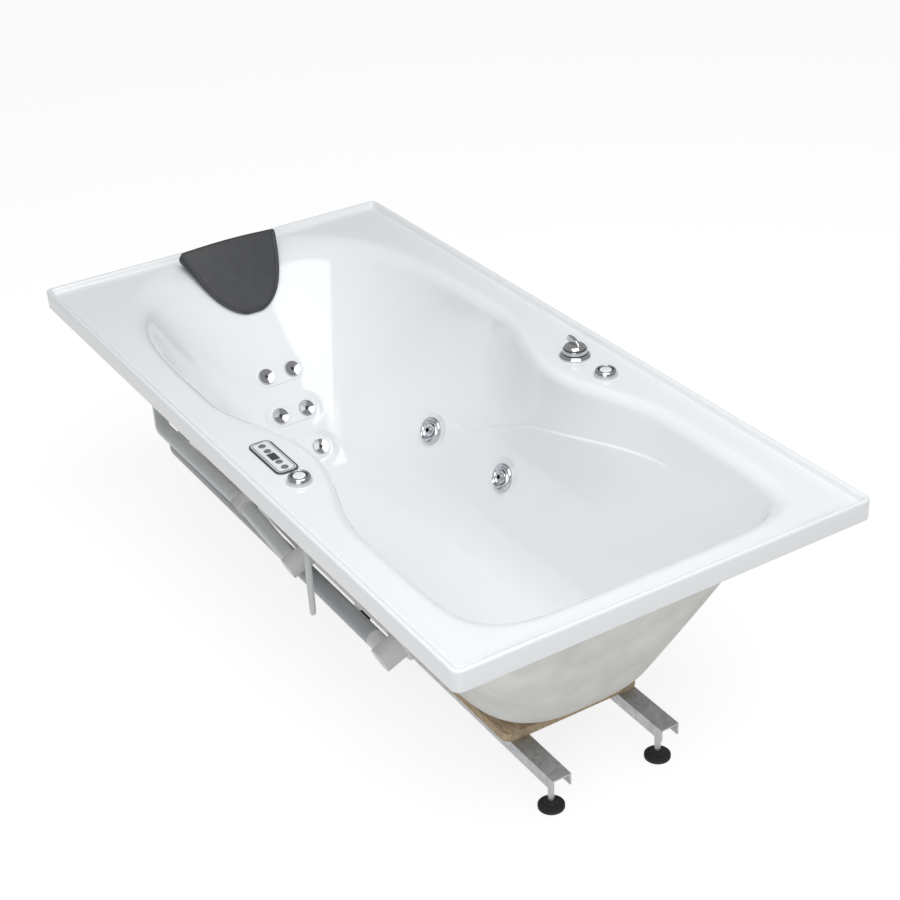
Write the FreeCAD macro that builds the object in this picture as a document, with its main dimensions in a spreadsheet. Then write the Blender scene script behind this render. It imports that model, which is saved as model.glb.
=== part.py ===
import FreeCAD, Part
import math
import os
import re
import Sketcher

# Jetted bathtub: acrylic shell on a steel and timber cradle, with pump, jets and controls.
# Frame: X from the head end to the foot end, Y from the keypad side to the diverter side, Z up.
# The origin is on the floor, under the middle of the bath. Everything is in millimetres.

Vector = FreeCAD.Vector
UP = Vector(0, 0, 1)
ALONG = Vector(1, 0, 0)
ACROSS = Vector(0, 1, 0)

doc = FreeCAD.newDocument("jetted_bathtub")
sheet = doc.addObject("Spreadsheet::Sheet", "sizes")

SIZES = {
    # bath shell
    "bath_length": 1700,
    "bath_width": 840,
    "rim_height": 550,
    "lip_height": 40,
    "shell_wall": 6,
    "rim_corner": 16,
    "bead_width": 14,
    "bead_rise": 12,
    "bead_round": 5,
    "basin_depth": 423,
    "edge_roll": 22,
    "head_gap": 38,
    "head_reach": 350,
    "foot_gap": 70,
    "foot_reach": 170,
    "deck_side_width": 89,
    "side_reach": 155,
    "wall_profile_depth": 393,
    "head_curve_top": 650,
    "head_curve_floor": 1070,
    "foot_curve_top": 330,
    "foot_curve_floor": 200,
    "head_power_top": 3.0,
    "head_power_floor": 2.7,
    "foot_power_top": 6.0,
    "foot_power_floor": 3.0,
    "head_floor_round": 75,
    "side_floor_round": 55,
    "pod_centre": 110,
    "pod_half_length": 300,
    "pod_bulge": 70,
    "pod_depth": 230,
    # jets and their lands
    "land_sink": 1,
    "boss_thick": 9,
    "jet_depth": 288,
    "jet_first_place": -260,
    "jet_spacing": 260,
    "jet_flange_radius": 30,
    "jet_flange_thick": 2.5,
    "jet_tube_radius": 23,
    "jet_bore_radius": 19,
    "jet_tail_length": 74,
    "jet_nut_radius": 32,
    "jet_nut_thick": 12,
    "ring_thick": 7,
    "ring_hub_depth": 7,
    "ring_edge": 2,
    "ball_radius": 15,
    "ball_front": 6,
    "ball_back": 8,
    "snout_radius": 8,
    "snout_length": 5,
    "nozzle_radius": 5,
    "running_gap": 0.1,
    "seat_gap": 0.3,
    # back jets
    "back_first_depth": 216,
    "back_row_step": 77,
    "back_pair_spacing": 66,
    "pad_margin": 6,
    "pad_rise": 2.5,
    "back_boss_thick": 14,
    "back_jet_radius": 19,
    "back_face_thick": 5,
    "back_tube_radius": 12,
    "back_tube_length": 18,
    "back_nozzle_radius": 4.5,
    "back_body_radius": 21,
    "back_body_length": 39,
    # water and air lines
    "hose_radius": 16,
    "air_hose_radius": 6,
    "stub_length": 30,
    "hose_turn_width": 250,
    "hose_corner_run": 140,
    "hose_corner_width": 300,
    "hose_corner_drop": 12,
    # cradle
    "board_thick": 18,
    "board_start": -400,
    "board_length": 960,
    "board_width": 300,
    "board_corner": 20,
    "rail_height": 25,
    "rail_width": 40,
    "rail_wall": 3,
    "rail_spacing": 240,
    "rail_inset": 60,
    "rail_length": 1480,
    "foot_inset": 35,
    "foot_pad_radius": 25,
    "foot_pad_height": 8,
    "foot_socket_radius": 13,
    "foot_socket_height": 8,
    "stud_radius": 6,
    "nut_across_flats": 19,
    "nut_thick": 10,
    "batten_width": 28,
    "batten_height": 22,
    "batten_inset": 70,
    # headrest
    "pillow_half_width": 124,
    "pillow_taper": 52,
    "pillow_ridge_reach": 66,
    "pillow_ridge_rise": 38,
    "pillow_top_depth": 3,
    "pillow_tip_thick": 9,
    "pillow_tip_depth": 101,
    "pillow_side_draw": 14,
    "pillow_lift": 1.6,
    "peg_radius": 9,
    "peg_spacing": 120,
    "peg_depth": 40,
    "peg_length": 10,
    "peg_reach": 4.7,
    # deck controls
    "control_inset": 82,
    "keypad_place": 97,
    "keypad_length": 130,
    "keypad_width": 46,
    "keypad_corner": 14,
    "bezel_thick": 3,
    "bezel_border": 5,
    "keypad_body_depth": 22,
    "key_radius": 7,
    "key_rise": 1.2,
    "key_travel": 0.6,
    "key_spacing": 26,
    "display_length": 26,
    "display_width": 16,
    "air_place": 200,
    "air_knob_radius": 22.5,
    "air_knob_height": 12,
    "air_flange_radius": 24,
    "air_flange_thick": 3,
    "air_neck_radius": 13,
    "air_body_radius": 20,
    "air_body_length": 42,
    "air_stem_radius": 6,
    "diverter_place": 97,
    "diverter_flange_radius": 31.5,
    "diverter_flange_thick": 8,
    "diverter_handle_radius": 25,
    "diverter_handle_height": 20,
    "diverter_fin_height": 13,
    "diverter_fin_thick": 9,
    "diverter_neck_radius": 18,
    "diverter_body_radius": 27,
    "diverter_body_length": 70,
    "diverter_stem_radius": 9,
    # waste
    "waste_place": 400,
    "waste_radius": 35,
    "waste_flange_thick": 3,
    "waste_neck_radius": 26,
    "waste_bore_radius": 20,
    "waste_tail_radius": 23.9,
    "waste_tail_length": 50,
    "waste_nut_radius": 34,
    "waste_nut_thick": 12,
    "plug_radius": 26,
    "plug_thick": 5,
    "plug_stem_radius": 5,
    "plug_stem_length": 30,
    "spider_radius": 9,
    # suction fitting
    "suction_place": 300,
    "suction_depth": 345,
    "suction_cover_radius": 52,
    "suction_cover_rise": 14,
    "suction_cover_wall": 3,
    "suction_slot_width": 5,
    "suction_slot_pitch": 12,
    "suction_tube_radius": 26,
    "suction_bore_radius": 21,
    "suction_tail_length": 66,
    "suction_pipe_radius": 18,
    "suction_screw_radius": 4,
    "suction_post_radius": 7,
    # pump
    "pump_inset": 150,
    "pump_board_thick": 12,
    "pump_board_inset": 40,
    "pump_board_length": 270,
    "pump_board_near": -150,
    "pump_board_width": 420,
    "pump_pad_radius": 12,
    "pump_pad_height": 6,
    "pump_plate_thick": 5,
    "pump_plate_length": 130,
    "pump_saddle_height": 2,
    "motor_radius": 58,
    "motor_start": 38,
    "motor_length": 165,
    "motor_fin_count": 12,
    "motor_fin_height": 5,
    "motor_fin_thick": 4,
    "fan_cover_radius": 62,
    "fan_cover_length": 42,
    "volute_radius": 66,
    "volute_half_width": 34,
    "volute_wall": 6,
    "volute_port_length": 36,
    "impeller_radius": 50,
    "impeller_thick": 22,
    "shaft_radius": 9,
    "vane_count": 6,
    "vane_thick": 4,
    "tee_radius": 22,
    "tee_reach": 42,
    "control_box_length": 64,
    "control_box_width": 110,
    "control_box_height": 96,
    "control_box_inset": 232,
    "control_box_near": 150,
    "gland_radius": 9,
    "gland_length": 18,
}

for row, (alias, number) in enumerate(SIZES.items(), start=1):
    sheet.set(f"A{row}", alias)
    sheet.set(f"B{row}", str(number))
    sheet.setAlias(f"B{row}", alias)
doc.recompute()


def size(alias):
    return float(sheet.get(alias))


def bound(expression):
    """The expression with each alias pointed at its cell of the sheet."""
    return re.sub(r"[a-z][a-z_]+", lambda word: "sizes." + word.group(0), expression)


def number(expression):
    value = sheet.evalExpression(bound(expression))
    return float(value)


def bind(item, **expressions):
    for name, expression in expressions.items():
        item.setExpression(name, bound(expression))


def place(item, position, direction=UP, turn=0.0):
    """Put the item's origin at position, with its own Z along direction."""
    rotation = FreeCAD.Rotation(UP, direction)
    spin = FreeCAD.Rotation(UP, turn)
    item.Placement = FreeCAD.Placement(position, rotation.multiply(spin))


nodes = []


def node(item, label):
    item.Label = label
    nodes.append(item)
    return item


# ---------------------------------------------------------------- levels of the bath

rim_top = size("rim_height")
deck_level = rim_top - size("bead_rise")
floor_level = deck_level - size("basin_depth")
board_top = floor_level - size("shell_wall")
rail_top = board_top - size("board_thick")
rail_under = rail_top - size("rail_height")
half_length = size("bath_length") / 2
wall = size("shell_wall")
control_line = size("bath_width") / 2 - size("control_inset")
rail_start = size("rail_inset") - half_length


# ---------------------------------------------------------------- form of the basin

def mix(low, high, share):
    return low + (high - low) * share


def rolled(depth):
    """How far the rolled top edge stands out from the wall at this depth."""
    roll = size("edge_roll")
    if depth >= roll:
        return 0.0
    return roll - math.sqrt(roll ** 2 - (roll - max(depth, 0.0)) ** 2)


def rounded_floor(depth, radius):
    """How far the floor's round has drawn the wall in at this depth."""
    rise = depth - (size("basin_depth") - radius)
    if rise <= 0:
        return 0.0
    return radius - math.sqrt(max(0.0, radius ** 2 - rise ** 2))


def half_outline(depth, outset, share):
    """One point of the basin's outline, from the head (share 0) to the foot (share 3).

    The head is a quarter of a superellipse, then comes the side, then the foot's quarter."""
    fall = depth / size("wall_profile_depth")
    lift = depth / size("basin_depth")
    side = size("bath_width") / 2 - size("deck_side_width") - size("side_reach") * fall ** 1.1
    side += rolled(depth) - rounded_floor(depth, size("side_floor_round")) + outset
    head = size("head_gap") - half_length + size("head_reach") * fall ** 0.7
    head += rounded_floor(depth, size("head_floor_round")) - rolled(depth) - outset
    foot = half_length - size("foot_gap") - size("foot_reach") * fall ** 1.1
    foot += rolled(depth) - rounded_floor(depth, size("side_floor_round")) + outset
    head_middle = mix(size("head_curve_top"), size("head_curve_floor"), lift) - half_length
    foot_middle = foot - mix(size("foot_curve_top"), size("foot_curve_floor"), lift)
    head_power = 2 / mix(size("head_power_top"), size("head_power_floor"), lift)
    foot_power = 2 / mix(size("foot_power_top"), size("foot_power_floor"), lift)
    if share <= 1:
        angle = share * math.pi / 2
        x = head_middle - (head_middle - head) * max(0.0, math.cos(angle)) ** head_power
        y = side * math.sin(angle) ** head_power
    elif share <= 2:
        x = mix(head_middle, foot_middle, share - 1)
        y = side
    else:
        angle = (share - 2) * math.pi / 2
        x = foot_middle + (foot - foot_middle) * math.sin(angle) ** foot_power
        y = side * max(0.0, math.cos(angle)) ** foot_power
    offset = (x - size("pod_centre")) / size("pod_half_length")
    if abs(offset) < 1 and y > 100:
        fade = max(0.0, 1 - depth / size("pod_depth"))
        y -= size("pod_bulge") * fade * math.cos(math.pi / 2 * offset) ** 2
    return x, y


HEAD_STEPS, SIDE_STEPS, FOOT_STEPS = 6, 4, 6


def outline(depth, outset, level):
    shares = [step / HEAD_STEPS for step in range(HEAD_STEPS)]
    shares += [1 + step / SIDE_STEPS for step in range(SIDE_STEPS)]
    shares += [2 + step / FOOT_STEPS for step in range(FOOT_STEPS)]
    half = [half_outline(depth, outset, share) for share in shares[1:]]
    head = half_outline(depth, outset, 0)[0]
    foot = half_outline(depth, outset, 3)[0]
    far = [Vector(x, y, level) for x, y in half]
    near = [Vector(x, -y, level) for x, y in reversed(half)]
    return [Vector(head, 0, level)] + far + [Vector(foot, 0, level)] + near


def chord_shares(points):
    """The spline parameters of the points, by the length of the chords between them."""
    lengths = [0.0]
    for first, second in zip(points, points[1:] + points[:1]):
        lengths.append(lengths[-1] + first.distanceToPoint(second))
    return [length / lengths[-1] for length in lengths]


outline_parameters = chord_shares(outline(0, 0, 0))


def smooth_wire(points):
    curve = Part.BSplineCurve()
    curve.interpolate(Points=points, PeriodicFlag=True, Parameters=outline_parameters)
    return Part.Wire([curve.toShape()])


def straight_wire(points):
    return Part.makePolygon(points + points[:1])


def basin_cavity(outset=0.0, rise=6.0):
    """The hollow of the basin, grown by outset, and carried up by rise above the deck."""
    depth = size("basin_depth")
    roll = size("edge_roll")
    walls = [mix(roll, depth - 58, step / 7) for step in range(8)]
    rounds = [depth - 28, depth - 10, depth]
    wires = [smooth_wire(outline(0, outset, deck_level + rise))]
    for level in [0, roll * 0.27] + walls + rounds:
        wires.append(smooth_wire(outline(level, outset, deck_level - level)))
    return Part.makeLoft(wires, True, True)


def basin_outside():
    """The laid-up outside of the basin, one wall thickness out from the hollow."""
    depth = size("basin_depth")
    roll = size("edge_roll")
    walls = [mix(roll, depth - 55, step / 4) for step in range(5)]
    wires = [straight_wire(outline(0, wall, deck_level - wall / 2))]
    for level in walls + [depth - 28, depth - 10, depth]:
        wires.append(straight_wire(outline(level, wall, deck_level - wall - level)))
    return Part.makeLoft(wires, True, True)


def head_point(depth):
    """The middle of the backrest at this depth below the deck."""
    return Vector(half_outline(depth, 0, 0)[0], 0, deck_level - depth)


def head_normal(depth):
    """The backrest's normal there, pointing into the basin."""
    step = min(12.0, depth)
    run = head_point(depth + step) - head_point(depth - step)
    return Vector(-run.z, 0, run.x).normalize()


def side_y(x, depth, outset=0.0):
    """Half width of the basin at x, found by halving the share."""
    low, high = 0.0, 2.0
    for _ in range(40):
        middle = (low + high) / 2
        if half_outline(depth, outset, middle)[0] < x:
            low = middle
        else:
            high = middle
    return half_outline(depth, outset, low)[1]


def side_point(x, depth, side):
    return Vector(x, side * side_y(x, depth), deck_level - depth)


def side_normal(x, depth, side):
    """Normal of the side wall, pointing into the basin. side is -1 near and +1 far."""
    step = 12.0
    run = side_point(x + step, depth, side) - side_point(x - step, depth, side)
    climb = side_point(x, depth - step, side) - side_point(x, depth + step, side)
    normal = run.cross(climb)
    if normal.y * side > 0:
        normal = -normal
    return normal.normalize()


# ---------------------------------------------------------------- where the jets sit

jet_sites = []
for side in (-1, 1):
    for turn in (0, 1):
        x = size("jet_first_place") + turn * size("jet_spacing")
        normal = side_normal(x, size("jet_depth"), side)
        point = side_point(x, size("jet_depth"), side) - normal * size("land_sink")
        jet_sites.append((point, normal))

back_rows = []
for row in range(3):
    depth = size("back_first_depth") + row * size("back_row_step")
    normal = head_normal(depth)
    back_rows.append((head_point(depth) + normal * size("pad_rise"), normal))

suction_normal = side_normal(size("suction_place"), size("suction_depth"), -1)
suction_site = side_point(size("suction_place"), size("suction_depth"), -1)
suction_site = suction_site - suction_normal * size("land_sink")


def disc(position, direction, radius, start, end):
    """A round bar about the axis through position, from start to end along direction."""
    return Part.makeCylinder(radius, end - start, position + direction * start, direction)


def oblong(row, half_thick_start, half_thick_end, radius):
    """A stadium-shaped pad round the two back jets of a row."""
    point, normal = back_rows[row]
    reach = size("back_pair_spacing") / 2
    slab = Part.makeBox(2 * radius, 2 * reach, half_thick_end - half_thick_start,
                        Vector(-radius, -reach, half_thick_start))
    ends = [Part.makeCylinder(radius, half_thick_end - half_thick_start,
                              Vector(0, side * reach, half_thick_start)) for side in (-1, 1)]
    pad = slab.fuse(ends).removeSplitter()
    pad.Placement = FreeCAD.Placement(point, FreeCAD.Rotation(UP, normal))
    return pad


def back_jet_places():
    places = []
    for point, normal in back_rows:
        for side in (-1, 1):
            places.append((point + ACROSS * (side * size("back_pair_spacing") / 2), normal))
    return places


# ---------------------------------------------------------------- bath shell

def rounded_box(length, width, low, high, corner):
    box = Part.makeBox(length, width, high - low, Vector(-length / 2, -width / 2, low))
    corners = [edge for edge in box.Edges if edge.BoundBox.ZLength > (high - low) / 2]
    return box.makeFillet(corner, corners)


def make_rim():
    """The lipped rim: a raised bead round a flat deck, hollow underneath."""
    length, width = size("bath_length"), size("bath_width")
    rim = rounded_box(length, width, rim_top - size("lip_height"), rim_top, size("rim_corner"))
    top_edges = [edge for edge in rim.Edges if edge.BoundBox.ZMin > rim_top - 0.5]
    rim = rim.makeFillet(size("bead_round"), top_edges)
    bead = 2 * size("bead_width")
    deck = rounded_box(length - bead, width - bead, deck_level, rim_top + 5, size("bead_round"))
    under = rounded_box(length - 2 * wall, width - 2 * wall, rim_top - size("lip_height") - 5,
                        deck_level - wall, size("rim_corner") - wall)
    return rim.cut(deck).cut(under)


def control_holes():
    holes = []
    for side in (-1, 1):
        holes.append(Vector(size("air_place"), side * control_line, 0))
    cuts = [Part.makeCylinder(size("air_neck_radius") + size("seat_gap"), 3 * wall,
                              hole + UP * (deck_level - 2 * wall)) for hole in holes]
    neck = size("diverter_neck_radius") + size("seat_gap")
    cuts.append(Part.makeCylinder(neck, 3 * wall,
                                  Vector(size("diverter_place"), control_line, deck_level - 2 * wall)))
    length = size("keypad_length") - 4 * size("bezel_border") + 2 * size("seat_gap")
    width = size("keypad_width") - 2 * size("bezel_border") + 2 * size("seat_gap")
    corner = Vector(size("keypad_place") - length / 2, -control_line - width / 2, deck_level - 2 * wall)
    cuts.append(Part.makeBox(length, width, 3 * wall, corner))
    return cuts


def make_shell():
    shell = make_rim().fuse(basin_outside())
    boss = size("boss_thick")
    bosses = []
    for point, normal in jet_sites:
        bosses.append(disc(point, normal, size("jet_nut_radius") + 3, -boss, -1))
    bosses.append(disc(suction_site, suction_normal, size("suction_tube_radius") + 14, -boss, -1))
    pad_radius = size("back_jet_radius") + size("pad_margin")
    for row in range(3):
        bosses.append(oblong(row, -size("back_boss_thick"), -size("pad_rise"), pad_radius))
    waste = Vector(size("waste_place"), 0, floor_level)
    shell = shell.fuse(bosses).cut(basin_cavity())
    pads = [oblong(row, -size("pad_rise") - 3, 0, pad_radius) for row in range(3)]
    shell = shell.fuse(pads)
    cuts = []
    for point, normal in jet_sites:
        cuts.append(disc(point, normal, size("jet_flange_radius") + 1.5, 0, 12))
        cuts.append(disc(point, normal, size("jet_tube_radius") + size("seat_gap"), -30, 12))
    land = size("suction_cover_radius") + 1.5
    cuts.append(disc(suction_site, suction_normal, land, 0, 14))
    tube = size("suction_tube_radius") + size("seat_gap")
    cuts.append(disc(suction_site, suction_normal, tube, -30, 14))
    for point, normal in back_jet_places():
        cuts.append(disc(point, normal, size("back_jet_radius") + 1, 0, 12))
        cuts.append(disc(point, normal, size("back_tube_radius") + size("seat_gap"), -30, 12))
    cuts.append(disc(waste, UP, size("waste_neck_radius") + size("seat_gap"), -30, 12))
    for side in (-1, 1):
        peg, lean = peg_sites[side]
        cuts.append(disc(peg, lean, size("peg_radius") + size("seat_gap"), -30, 12))
    return shell.cut(cuts + control_holes())


# The headrest's two pegs go through the backrest, one on each side of the middle.
peg_sites = {}
for side in (-1, 1):
    lean = head_normal(size("peg_depth"))
    peg_sites[side] = (head_point(size("peg_depth")) + ACROSS * (side * size("peg_spacing") / 2), lean)

shell = node(doc.addObject("Part::Feature", "shell"), "bath_shell")
shell.Shape = make_shell()

# ---------------------------------------------------------------- sketched and turned pieces


def plane_of(body, role):
    for feature in body.Origin.OriginFeatures:
        if feature.Role == role:
            return feature
    raise ValueError(role)


def profile(body, role, corners):
    """A closed sketch whose corners are expressions of the sheet's sizes."""
    sketch = body.newObject("Sketcher::SketchObject", body.Name + "_profile")
    sketch.AttachmentSupport = [(plane_of(body, role), "")]
    sketch.MapMode = "FlatFace"
    places = [Vector(number(x), number(y), 0) for x, y in corners]
    for index, spot in enumerate(places):
        sketch.addGeometry(Part.LineSegment(spot, places[(index + 1) % len(places)]), False)
    for index in range(len(places)):
        following = (index + 1) % len(places)
        sketch.addConstraint(Sketcher.Constraint("Coincident", index, 2, following, 1))
    for index, (x, y) in enumerate(corners):
        for kind, axis, expression, value in (("DistanceX", -2, x, places[index].x),
                                              ("DistanceY", -1, y, places[index].y)):
            if expression == "0":
                sketch.addConstraint(Sketcher.Constraint("PointOnObject", index, 1, axis))
                continue
            made = sketch.addConstraint(Sketcher.Constraint(kind, -1, 1, index, 1, value))
            sketch.setExpression(f"Constraints[{made}]", bound(expression))
    return sketch


def turned(name, corners):
    """A body turned about its own Z from corners given as (radius, height)."""
    body = doc.addObject("PartDesign::Body", name)
    sketch = profile(body, "XZ_Plane", corners)
    turning = body.newObject("PartDesign::Revolution", name + "_turning")
    turning.Profile = sketch
    turning.ReferenceAxis = (sketch, ["V_Axis"])
    turning.Angle = 360
    doc.recompute()
    return body


def placed_copy(shape, position, direction=UP, turn=0.0):
    copy = shape.copy()
    rotation = FreeCAD.Rotation(UP, direction).multiply(FreeCAD.Rotation(UP, turn))
    copy.Placement = FreeCAD.Placement(position, rotation).multiply(copy.Placement)
    return copy


def group(label, shapes):
    """One node that holds several separate solids."""
    item = node(doc.addObject("Part::Feature", label), label)
    item.Shape = shapes[0] if len(shapes) == 1 else Part.makeCompound(shapes)
    return item


# ---------------------------------------------------------------- side jets

jet_body = turned("side_jet_body", [
    ("jet_bore_radius", "0"), ("jet_tube_radius", "0"),
    ("jet_tube_radius", "jet_tail_length"), ("jet_flange_radius", "jet_tail_length"),
    ("jet_flange_radius", "jet_tail_length + jet_flange_thick"),
    ("jet_bore_radius", "jet_tail_length + jet_flange_thick")])
jet_nut = turned("side_jet_nut", [
    ("jet_tube_radius + running_gap", "0"), ("jet_nut_radius - ring_edge", "0"),
    ("jet_nut_radius", "ring_edge"), ("jet_nut_radius", "jet_nut_thick"),
    ("jet_tube_radius + running_gap", "jet_nut_thick")])
jet_ring = turned("side_jet_ring", [
    ("ball_radius + running_gap", "0"), ("jet_bore_radius - running_gap", "0"),
    ("jet_bore_radius - running_gap", "ring_hub_depth"),
    ("jet_flange_radius", "ring_hub_depth"),
    ("jet_flange_radius", "ring_hub_depth + ring_thick - 2 * ring_edge"),
    ("jet_flange_radius - 2 * ring_edge", "ring_hub_depth + ring_thick"),
    ("ball_radius + 2 * ring_edge", "ring_hub_depth + ring_thick"),
    ("ball_radius + running_gap", "ring_hub_depth + ring_thick - 2 * ring_edge")])


# The ball's corners lie on a sphere, so that it tilts freely in the ring's round bore.
jet_ball = turned("side_jet_ball", [
    ("nozzle_radius", "0"), ("ball_radius * 0.84", "0"),
    ("ball_radius * 0.966", "ball_back - ball_radius * 0.259"),
    ("ball_radius * 0.966", "ball_back + ball_radius * 0.259"),
    ("ball_radius * 0.9", "ball_back + ball_front"), ("snout_radius", "ball_back + ball_front"),
    ("snout_radius - 1", "ball_back + ball_front + snout_length"),
    ("nozzle_radius", "ball_back + ball_front + snout_length")])


jet_number = 0
tail_start = -size("jet_tail_length")
ring_seat = size("jet_flange_thick") + size("running_gap")
bodies, nuts = [], []
jet_tails = []
ball_centres = []
for point, normal in jet_sites:
    jet_number += 1
    bodies.append(placed_copy(jet_body.Shape, point + normal * tail_start, normal))
    nut_level = -size("boss_thick") - size("jet_nut_thick")
    nuts.append(placed_copy(jet_nut.Shape, point + normal * nut_level, normal))
    ring = node(doc.addObject("Part::Feature", "ring"), f"side_jet_ring_{jet_number}")
    ring.Shape = jet_ring.Shape
    place(ring, point + normal * (ring_seat - size("ring_hub_depth")), normal)
    ball = node(doc.addObject("Part::Feature", "ball"), f"side_jet_ball_{jet_number}")
    ball.Shape = jet_ball.Shape
    centre = point + normal * (ring_seat + size("ring_edge") / 2)
    place(ball, centre - normal * size("ball_back"), normal)
    ball_centres.append(centre)
    jet_tails.append(point + normal * (tail_start + size("hose_radius") + 2))

# ---------------------------------------------------------------- back jets

back_face = turned("back_jet_face_pattern", [
    ("back_nozzle_radius", "0"), ("back_tube_radius", "0"), ("back_tube_radius", "back_tube_length"),
    ("back_jet_radius", "back_tube_length"),
    ("back_jet_radius - ring_edge", "back_tube_length + back_face_thick"),
    ("back_nozzle_radius", "back_tube_length + back_face_thick - ring_edge")])
group("back_jet_faces", [placed_copy(back_face.Shape, point - normal * size("back_tube_length"), normal)
                         for point, normal in back_jet_places()])


def back_body(row):
    """A twin body behind one row: a cup behind each jet and a channel between them."""
    point, normal = back_rows[row]
    start = -size("back_boss_thick") - size("back_body_length")
    cup = []
    for side in (-1, 1):
        middle = point + ACROSS * (side * size("back_pair_spacing") / 2)
        cup.append(disc(middle, normal, size("back_body_radius"), start, -size("back_boss_thick")))
    channel_start = point + normal * (start + size("hose_radius") + 2)
    reach = size("back_pair_spacing") / 2
    channel = Part.makeCylinder(size("hose_radius"), 2 * reach, channel_start - ACROSS * reach, ACROSS)
    return cup[0].fuse([cup[1], channel]), channel_start


back_channels = [back_body(row)[1] for row in range(3)]

# ---------------------------------------------------------------- pipes


def pipe(points, radius, bend):
    """A round bar along straight runs joined by tangent arcs of the bend radius."""
    edges = []
    start = points[0]
    for before, corner, after in zip(points, points[1:], points[2:]):
        inward = (corner - before).normalize()
        outward = (after - corner).normalize()
        turn = inward.getAngle(outward)
        trim = bend * math.tan(turn / 2)
        first = corner - inward * trim
        last = corner + outward * trim
        bisector = (outward - inward).normalize()
        middle = corner + bisector * (bend / math.cos(turn / 2) - bend)
        edges.append(Part.LineSegment(start, first).toShape())
        edges.append(Part.Arc(first, middle, last).toShape())
        start = last
    edges.append(Part.LineSegment(start, points[-1]).toShape())
    path = Part.Wire(edges)
    direction = (points[1] - points[0]).normalize()
    section = Part.Wire([Part.Circle(points[0], direction, radius).toShape()])
    return path.makePipeShell([section], True, False)


def towards(start, end, distance):
    return start + (end - start).normalize() * distance


hose = size("hose_radius")
air_hose = size("air_hose_radius")
stub = size("stub_length")
pump_x = size("pump_inset") - half_length
tee_level = back_channels[0].z
tee_centre = Vector(pump_x, 0, tee_level)


def stubbed(body, centre, ends, radius, length):
    """Fuse a short port on to a jet body, pointing at each of the ends."""
    stubs = []
    for end in ends:
        direction = (end - centre).normalize()
        stubs.append(Part.makeCylinder(radius, length, centre, direction))
    return body.fuse(stubs)


def branch(side):
    """The hose from the tee to the first jet of one side, round the outside of the basin."""
    first = jet_tails[0] if side < 0 else jet_tails[2]
    port = tee_centre + ACROSS * (side * size("tee_reach"))
    outside = Vector(pump_x, side * size("hose_turn_width"), tee_level)
    corner = Vector(pump_x + size("hose_corner_run"), side * size("hose_corner_width"),
                    tee_level - size("hose_corner_drop"))
    return [port, outside, corner, towards(first, corner, stub)]


group("side_jet_nuts", nuts)

water_ends = {0: [branch(-1)[2], jet_tails[1]], 1: [jet_tails[0]],
              2: [branch(1)[2], jet_tails[3]], 3: [jet_tails[2]]}
air_points = [site[0] - site[1] * (size("boss_thick") + size("jet_nut_thick") + air_hose + 2)
              for site in jet_sites]
air_level = deck_level - size("air_body_length") - wall
air_drop = {1: Vector(size("air_place"), -control_line, air_points[1].z),
            3: Vector(size("air_place"), control_line, air_points[3].z)}
air_ends = {0: [air_points[1]], 1: [air_points[0], air_drop[1]],
            2: [air_points[3]], 3: [air_points[2], air_drop[3]]}


def ported_body(index):
    """A jet body with closed tail, its water ports and its smaller air ports."""
    point, normal = jet_sites[index]
    shape = stubbed(bodies[index], jet_tails[index], water_ends[index], hose, stub)
    shape = stubbed(shape, air_points[index], air_ends[index], air_hose, stub)
    bore = disc(point, normal, size("jet_bore_radius"), tail_start + 4, 10)
    return shape.fuse(disc(point, normal, size("jet_tube_radius"), tail_start, tail_start + 4)).cut(bore)


group("side_jet_bodies", [ported_body(index) for index in range(4)])
links = []
for first, second in ((0, 1), (2, 3)):
    start = towards(jet_tails[first], jet_tails[second], stub)
    end = towards(jet_tails[second], jet_tails[first], stub)
    links.append(pipe([start, end], hose, 1))
group("side_water_hoses", links + [pipe(branch(side), hose, 45) for side in (-1, 1)])

air_lines = []
for first, second in ((0, 1), (2, 3)):
    start = towards(air_points[first], air_points[second], stub)
    end = towards(air_points[second], air_points[first], stub)
    air_lines.append(pipe([start, end], air_hose, 1))
    valve = Vector(air_drop[second].x, air_drop[second].y, air_level)
    drop = air_drop[second]
    air_lines.append(pipe([towards(air_points[second], drop, stub), drop, valve], air_hose, 30))
group("air_hoses", air_lines)


def back_bodies():
    shapes = []
    for row in range(3):
        body, centre = back_body(row)
        ends = []
        if row == 0:
            ends.append(tee_centre)
        if row > 0:
            ends.append(back_channels[row - 1])
        if row < 2:
            ends.append(back_channels[row + 1])
        for end in ends:
            direction = (end - centre).normalize()
            body = body.fuse(Part.makeCylinder(hose * 0.8, stub * 0.9, centre, direction))
        for side in (-1, 1):
            middle = back_rows[row][0] + ACROSS * (side * size("back_pair_spacing") / 2)
            bore = size("back_tube_radius") + size("seat_gap")
            depth = -size("back_boss_thick") - 6
            body = body.cut(disc(middle, back_rows[row][1], bore, depth, 12))
        shapes.append(body)
    return shapes


group("back_jet_bodies", back_bodies())
back_links = []
for first, second in ((back_channels[0], back_channels[1]), (back_channels[1], back_channels[2])):
    start = towards(first, second, stub * 0.9)
    end = towards(second, first, stub * 0.9)
    back_links.append(pipe([start, end], hose * 0.8, 1))
tee_port = tee_centre + ALONG * size("tee_reach")
back_links.append(pipe([tee_port, towards(back_channels[0], tee_centre, stub * 0.9)], hose * 0.8, 1))
group("back_water_hoses", back_links)

# ---------------------------------------------------------------- cradle

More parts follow.
